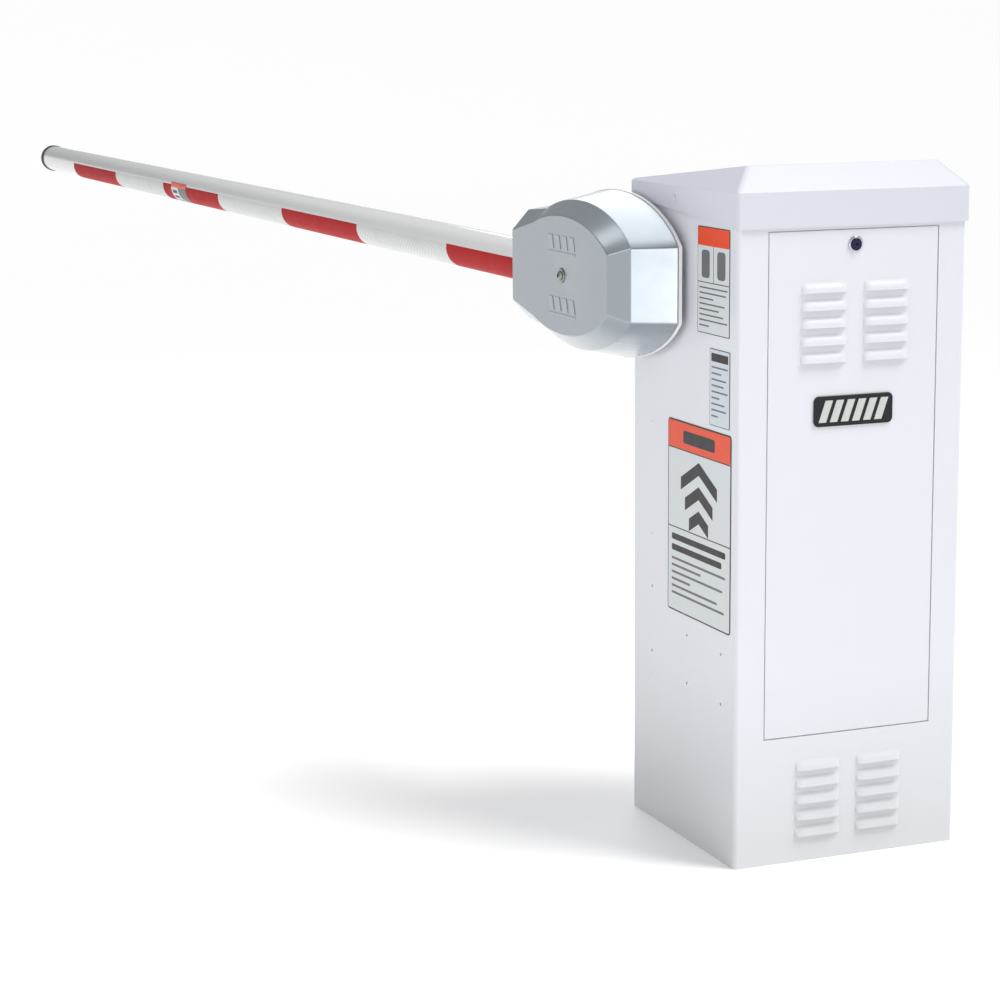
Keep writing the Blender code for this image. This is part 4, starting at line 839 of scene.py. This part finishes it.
# ---------------------------------------------------------------- boom
def wrapped(name, y0, y1, from_angle, to_angle, near, far, mat, replaces=()):
    """A strip stuck round the boom, with its flat coordinates in metres as its UV map."""
    steps = 56
    angles = [from_angle + (to_angle - from_angle) * i / steps for i in range(steps + 1)]
    loop = [(far, a) for a in angles] + [(near, a) for a in reversed(angles)]
    bm = bmesh.new()
    ends = [[bm.verts.new((ARM_X + r * cos(a), y, ARM_AXIS_Z + r * sin(a))) for r, a in loop]
            for y in (y0, y1)]
    count = len(loop)
    for i in range(count):
        j = (i + 1) % count
        bm.faces.new((ends[0][i], ends[0][j], ends[1][j], ends[1][i]))
    for i in range(steps):
        for end in ends:
            bm.faces.new((end[i], end[i + 1], end[count - 2 - i], end[count - 1 - i]))
    bmesh.ops.recalc_face_normals(bm, faces=bm.faces)
    flat = bm.loops.layers.uv.new("flat")
    around = {v: a for end in ends for v, (_, a) in zip(end, loop)}
    for face in bm.faces:
        for corner in face.loops:
            corner[flat].uv = (ARM_R * around[corner.vert], corner.vert.co.y)
    return finish(fresh(name, bm), mat, "arm", replaces)


def boom():
    """The tube, its striped reflective tape and its rubber end cap."""
    (_, root, _), (_, tip, _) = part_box("barrier_arm")
    inner = ARM_R - ARM_WALL
    long = tip - root
    profile = [(inner, 0), (inner, long), (ARM_R, long), (ARM_R, 0), (inner, 0)]
    tube = lathe("boom_tube", profile, (ARM_X, root, ARM_AXIS_Z), (0, 1, 0), 96)
    finish(soften(tube, 0.0004), BOOM, "arm", ["barrier_arm"])

    (_, start, _), (_, stop, _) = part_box("reflective_tape")
    edges = [start] + [STRIPE_FIRST + i * STRIPE_LONG for i in range(7)]
    edges[-1] = stop
    for i, (y0, y1) in enumerate(zip(edges, edges[1:])):
        mat = RED_TAPE if i % 2 == 0 else SILVER_TAPE
        stands_for = ["reflective_tape"] if i == 0 else ()
        wrapped(f"tape_stripe_{i}", y0 + TAPE_GAP, y1 - TAPE_GAP, TAPE_FROM, TAPE_TO,
                ARM_R + TAPE_OVER[0], ARM_R + TAPE_OVER[1], mat, stands_for)
    boom_sticker()
    boom_end_cap(inner, tip)


def boom_sticker():
    """A small sticker over the tape: an orange strip, a white and a grey field, and three bars."""
    near, split, far = STICKER_Y
    top, fold, low = (radians(turn) for turn in STICKER_TURNS)
    under, face, ink = (ARM_R + over for over in STICKER_OVER)
    wrapped("boom_sticker_orange", near, far, top, fold, under, face, LABEL_ORANGE)
    wrapped("boom_sticker_white", split, far, fold, low, under, face, LABEL_WHITE)
    wrapped("boom_sticker_grey", near, split, fold, low, under, face, LABEL_GREY)
    for i in range(3):
        turn = 190 + i * 22
        wrapped(f"boom_sticker_bar_{i}", split + 0.012, far - 0.012, radians(turn), radians(turn + 12),
                face, ink, LABEL_INK)


def boom_end_cap(inner, tip):
    """A rubber cap with a rounded lip, a skirt over the tube and a plug inside it."""
    lip = [(0.0330 + 0.0028 * sin(a), 0.0032 + 0.0028 * cos(a)) for a in quarter(6)]
    plug, skirt = inner - 0.0003, ARM_R + 0.0003
    skirt_end, seat, plug_end = -0.0200, 0.0003, -0.0300
    profile = [(0, 0.0052), (0.0240, 0.0052), (0.0262, 0.0060), *lip, (0.0360, skirt_end),
               (skirt, skirt_end), (skirt, seat), (plug, seat), (plug, plug_end), (0, plug_end)]
    cap = lathe("boom_end_cap", profile, (ARM_X, tip, ARM_AXIS_Z), (0, 1, 0), 96)
    finish(cap, RUBBER, "arm", ["arm_end_cap"])


# ---------------------------------------------------------------- CAD pieces that keep their shape
def angle_smoothing():
    """A node group that joins split corners and shades smooth below 34 degrees."""
    group = bpy.data.node_groups.new("smooth_by_angle", "GeometryNodeTree")
    group.interface.new_socket("Geometry", in_out="INPUT", socket_type="NodeSocketGeometry")
    group.interface.new_socket("Geometry", in_out="OUTPUT", socket_type="NodeSocketGeometry")
    into, out = group.nodes.new("NodeGroupInput"), group.nodes.new("NodeGroupOutput")
    merge = group.nodes.new("GeometryNodeMergeByDistance")
    merge.inputs["Distance"].default_value = 0.00001
    drop = group.nodes.new("GeometryNodeRemoveAttribute")
    drop.inputs["Name"].default_value = "custom_normal"
    faces = group.nodes.new("GeometryNodeSetShadeSmooth")
    edges = group.nodes.new("GeometryNodeSetShadeSmooth")
    edges.domain = "EDGE"
    edges.inputs["Shade Smooth"].default_value = False
    bend = group.nodes.new("GeometryNodeInputMeshEdgeAngle")
    steep = group.nodes.new("FunctionNodeCompare")
    steep.operation = "GREATER_THAN"
    steep.inputs["B"].default_value = radians(34)
    link = group.links.new
    link(into.outputs[0], drop.inputs[0])
    link(drop.outputs[0], merge.inputs[0])
    link(merge.outputs[0], faces.inputs[0])
    link(faces.outputs[0], edges.inputs[0])
    link(bend.outputs["Unsigned Angle"], steep.inputs["A"])
    link(steep.outputs[0], edges.inputs["Selection"])
    link(edges.outputs[0], out.inputs[0])
    return group


SMOOTHING = angle_smoothing()
CAD_FINISHES = (
    (ZINC, ("base_plate", "motor_cradle", "side_frame_left", "side_frame_right", "bearing_shelf",
            "reducer_platform", "control_panel", "door_stiffener", "lock_nut", "lock_cam",
            "clamp_bolt_1", "clamp_bolt_2", "clamp_bolt_3", "clamp_bolt_4", "connecting_rod",
            "rod_end_upper", "rod_end_lower", "input_pulley", "motor_pulley")),
    (BRIGHT, ("main_shaft", "output_shaft", "lever_pin", "crank_pin", "drive_lever", "output_crank")),
    (WHITE, ("door_frame",)),
    (SHADED_HOOD_WHITE, ("hood_screw_left", "hood_screw_right")),
    (IRON, ("bearing_left", "bearing_right", "gear_reducer")),
    (MOTOR, ("motor",)),
    (CAST, ("clamp_front", "clamp_rear")),
    (BELT, ("drive_belt",)),
    (PLASTIC, ("wall_bushing", "limit_switch_closed", "limit_switch_open", "limit_cam_closed",
               "limit_cam_open", "power_switch")),
    (BOARD, ("circuit_board",)),
    (CHROME, ("power_toggle",)),
)


def dress_cad():
    """Assigns finishes to the CAD pieces that stay, and shades their round faces smooth."""
    for mat, names in CAD_FINISHES:
        for name in names:
            node = NODES[name]
            for place in node.material_slots:
                place.material = mat
            node.modifiers.new("smooth", "NODES").node_group = SMOOTHING


# ---------------------------------------------------------------- stage, lights, camera
def floor():
    """A pale floor, level round the gate and rising very gently far away."""
    level_out, slope = 10, 0.085
    reach = [level_out * 1.35 ** i for i in range(9)]
    profile = [(0, 0)] + [(radius, slope * (radius - level_out)) for radius in reach]
    ground = lathe("floor", profile, (0, 1.5, -0.0002), (0, 0, 1), 96)
    look = Finish("pale_floor", (0.93, 0.93, 0.93), 0.7)
    look.tint(look.spread(look.noise(1.3, 2), 0.4, 0.7, 0.0, 0.15), (0.915, 0.915, 0.92))
    look.shader.inputs["Emission Color"].default_value = (1, 1, 1, 1)
    look.shader.inputs["Emission Strength"].default_value = 0.14
    ground.data.materials.append(look.mat)
    ground.data.shade_smooth()


def softbox(name, place, aim, size, brightness):
    """A rectangular light of a given brightness, whatever its size."""
    lamp = bpy.data.lights.new(name, "AREA")
    lamp.shape = "RECTANGLE"
    lamp.size, lamp.size_y = size
    lamp.energy = pi * size[0] * size[1] * brightness
    holder = bpy.data.objects.new(name, lamp)
    holder.location = place
    holder.rotation_euler = (Vector(aim) - Vector(place)).to_track_quat("-Z", "Y").to_euler()
    bpy.context.scene.collection.objects.link(holder)


def lights():
    """A pale surround, a broad soft key from high in front on the right, and four softboxes."""
    world = bpy.data.worlds.new("studio")
    world.use_nodes = True
    sky = world.node_tree.nodes["Background"]
    sky.inputs["Color"].default_value = (0.96, 0.98, 1.0, 1.0)
    sky.inputs["Strength"].default_value = 0.30
    bpy.context.scene.world = world
    lamp = bpy.data.lights.new("key", "SUN")
    lamp.energy = 0.78 * pi
    lamp.angle = radians(26)
    lamp.color = (1.0, 0.99, 0.98)
    key = bpy.data.objects.new("key", lamp)
    key.rotation_euler = Vector((-0.42, 0.31, -0.84)).to_track_quat("-Z", "Y").to_euler()
    bpy.context.scene.collection.objects.link(key)
    softbox("overhead", (0.445, 1.81, 3.32), (-0.23, 0.10, 0.95), (1.1, 5.4), 2.2)
    softbox("left", (-2.00, -1.00, 2.00), (-0.20, -0.05, 0.85), (1.3, 1.3), 1.9)
    softbox("bevel", (-1.30, 1.20, 2.90), (-0.27, 0.05, 0.95), (0.7, 1.5), 1.7)
    softbox("front", (-1.25, -3.1, 0.38), (-0.25, 0.0, 0.84), (1.3, 1.1), 2.7)
    bpy.context.scene.view_settings.view_transform = "Standard"


def camera():
    """A long lens ahead and to the left of the cabinet, looking slightly down."""
    yaw, pitch, roll = 0.3765, -0.1817, -0.0083
    ahead = Vector((sin(yaw) * cos(pitch), cos(yaw) * cos(pitch), sin(pitch)))
    level = Vector((cos(yaw), -sin(yaw), 0))
    upward = level.cross(ahead)
    right = cos(roll) * level + sin(roll) * upward
    up = -sin(roll) * level + cos(roll) * upward
    eye = bpy.data.objects.new("camera", bpy.data.cameras.new("camera"))
    eye.data.sensor_width = 36
    eye.data.lens = 94.575
    eye.data.clip_end = 200
    turned = Matrix((right, up, -ahead)).transposed().to_4x4()
    eye.matrix_world = Matrix.Translation((-1.8410, -3.4575, 1.2229)) @ turned
    bpy.context.scene.collection.objects.link(eye)
    bpy.context.scene.camera = eye


cabinet()
rivet_marks()
hood()
door()
badge()
lock()
large_label()
upper_label()
rating_label()
hub()
boom()
dress_cad()
floor()
lights()
camera()
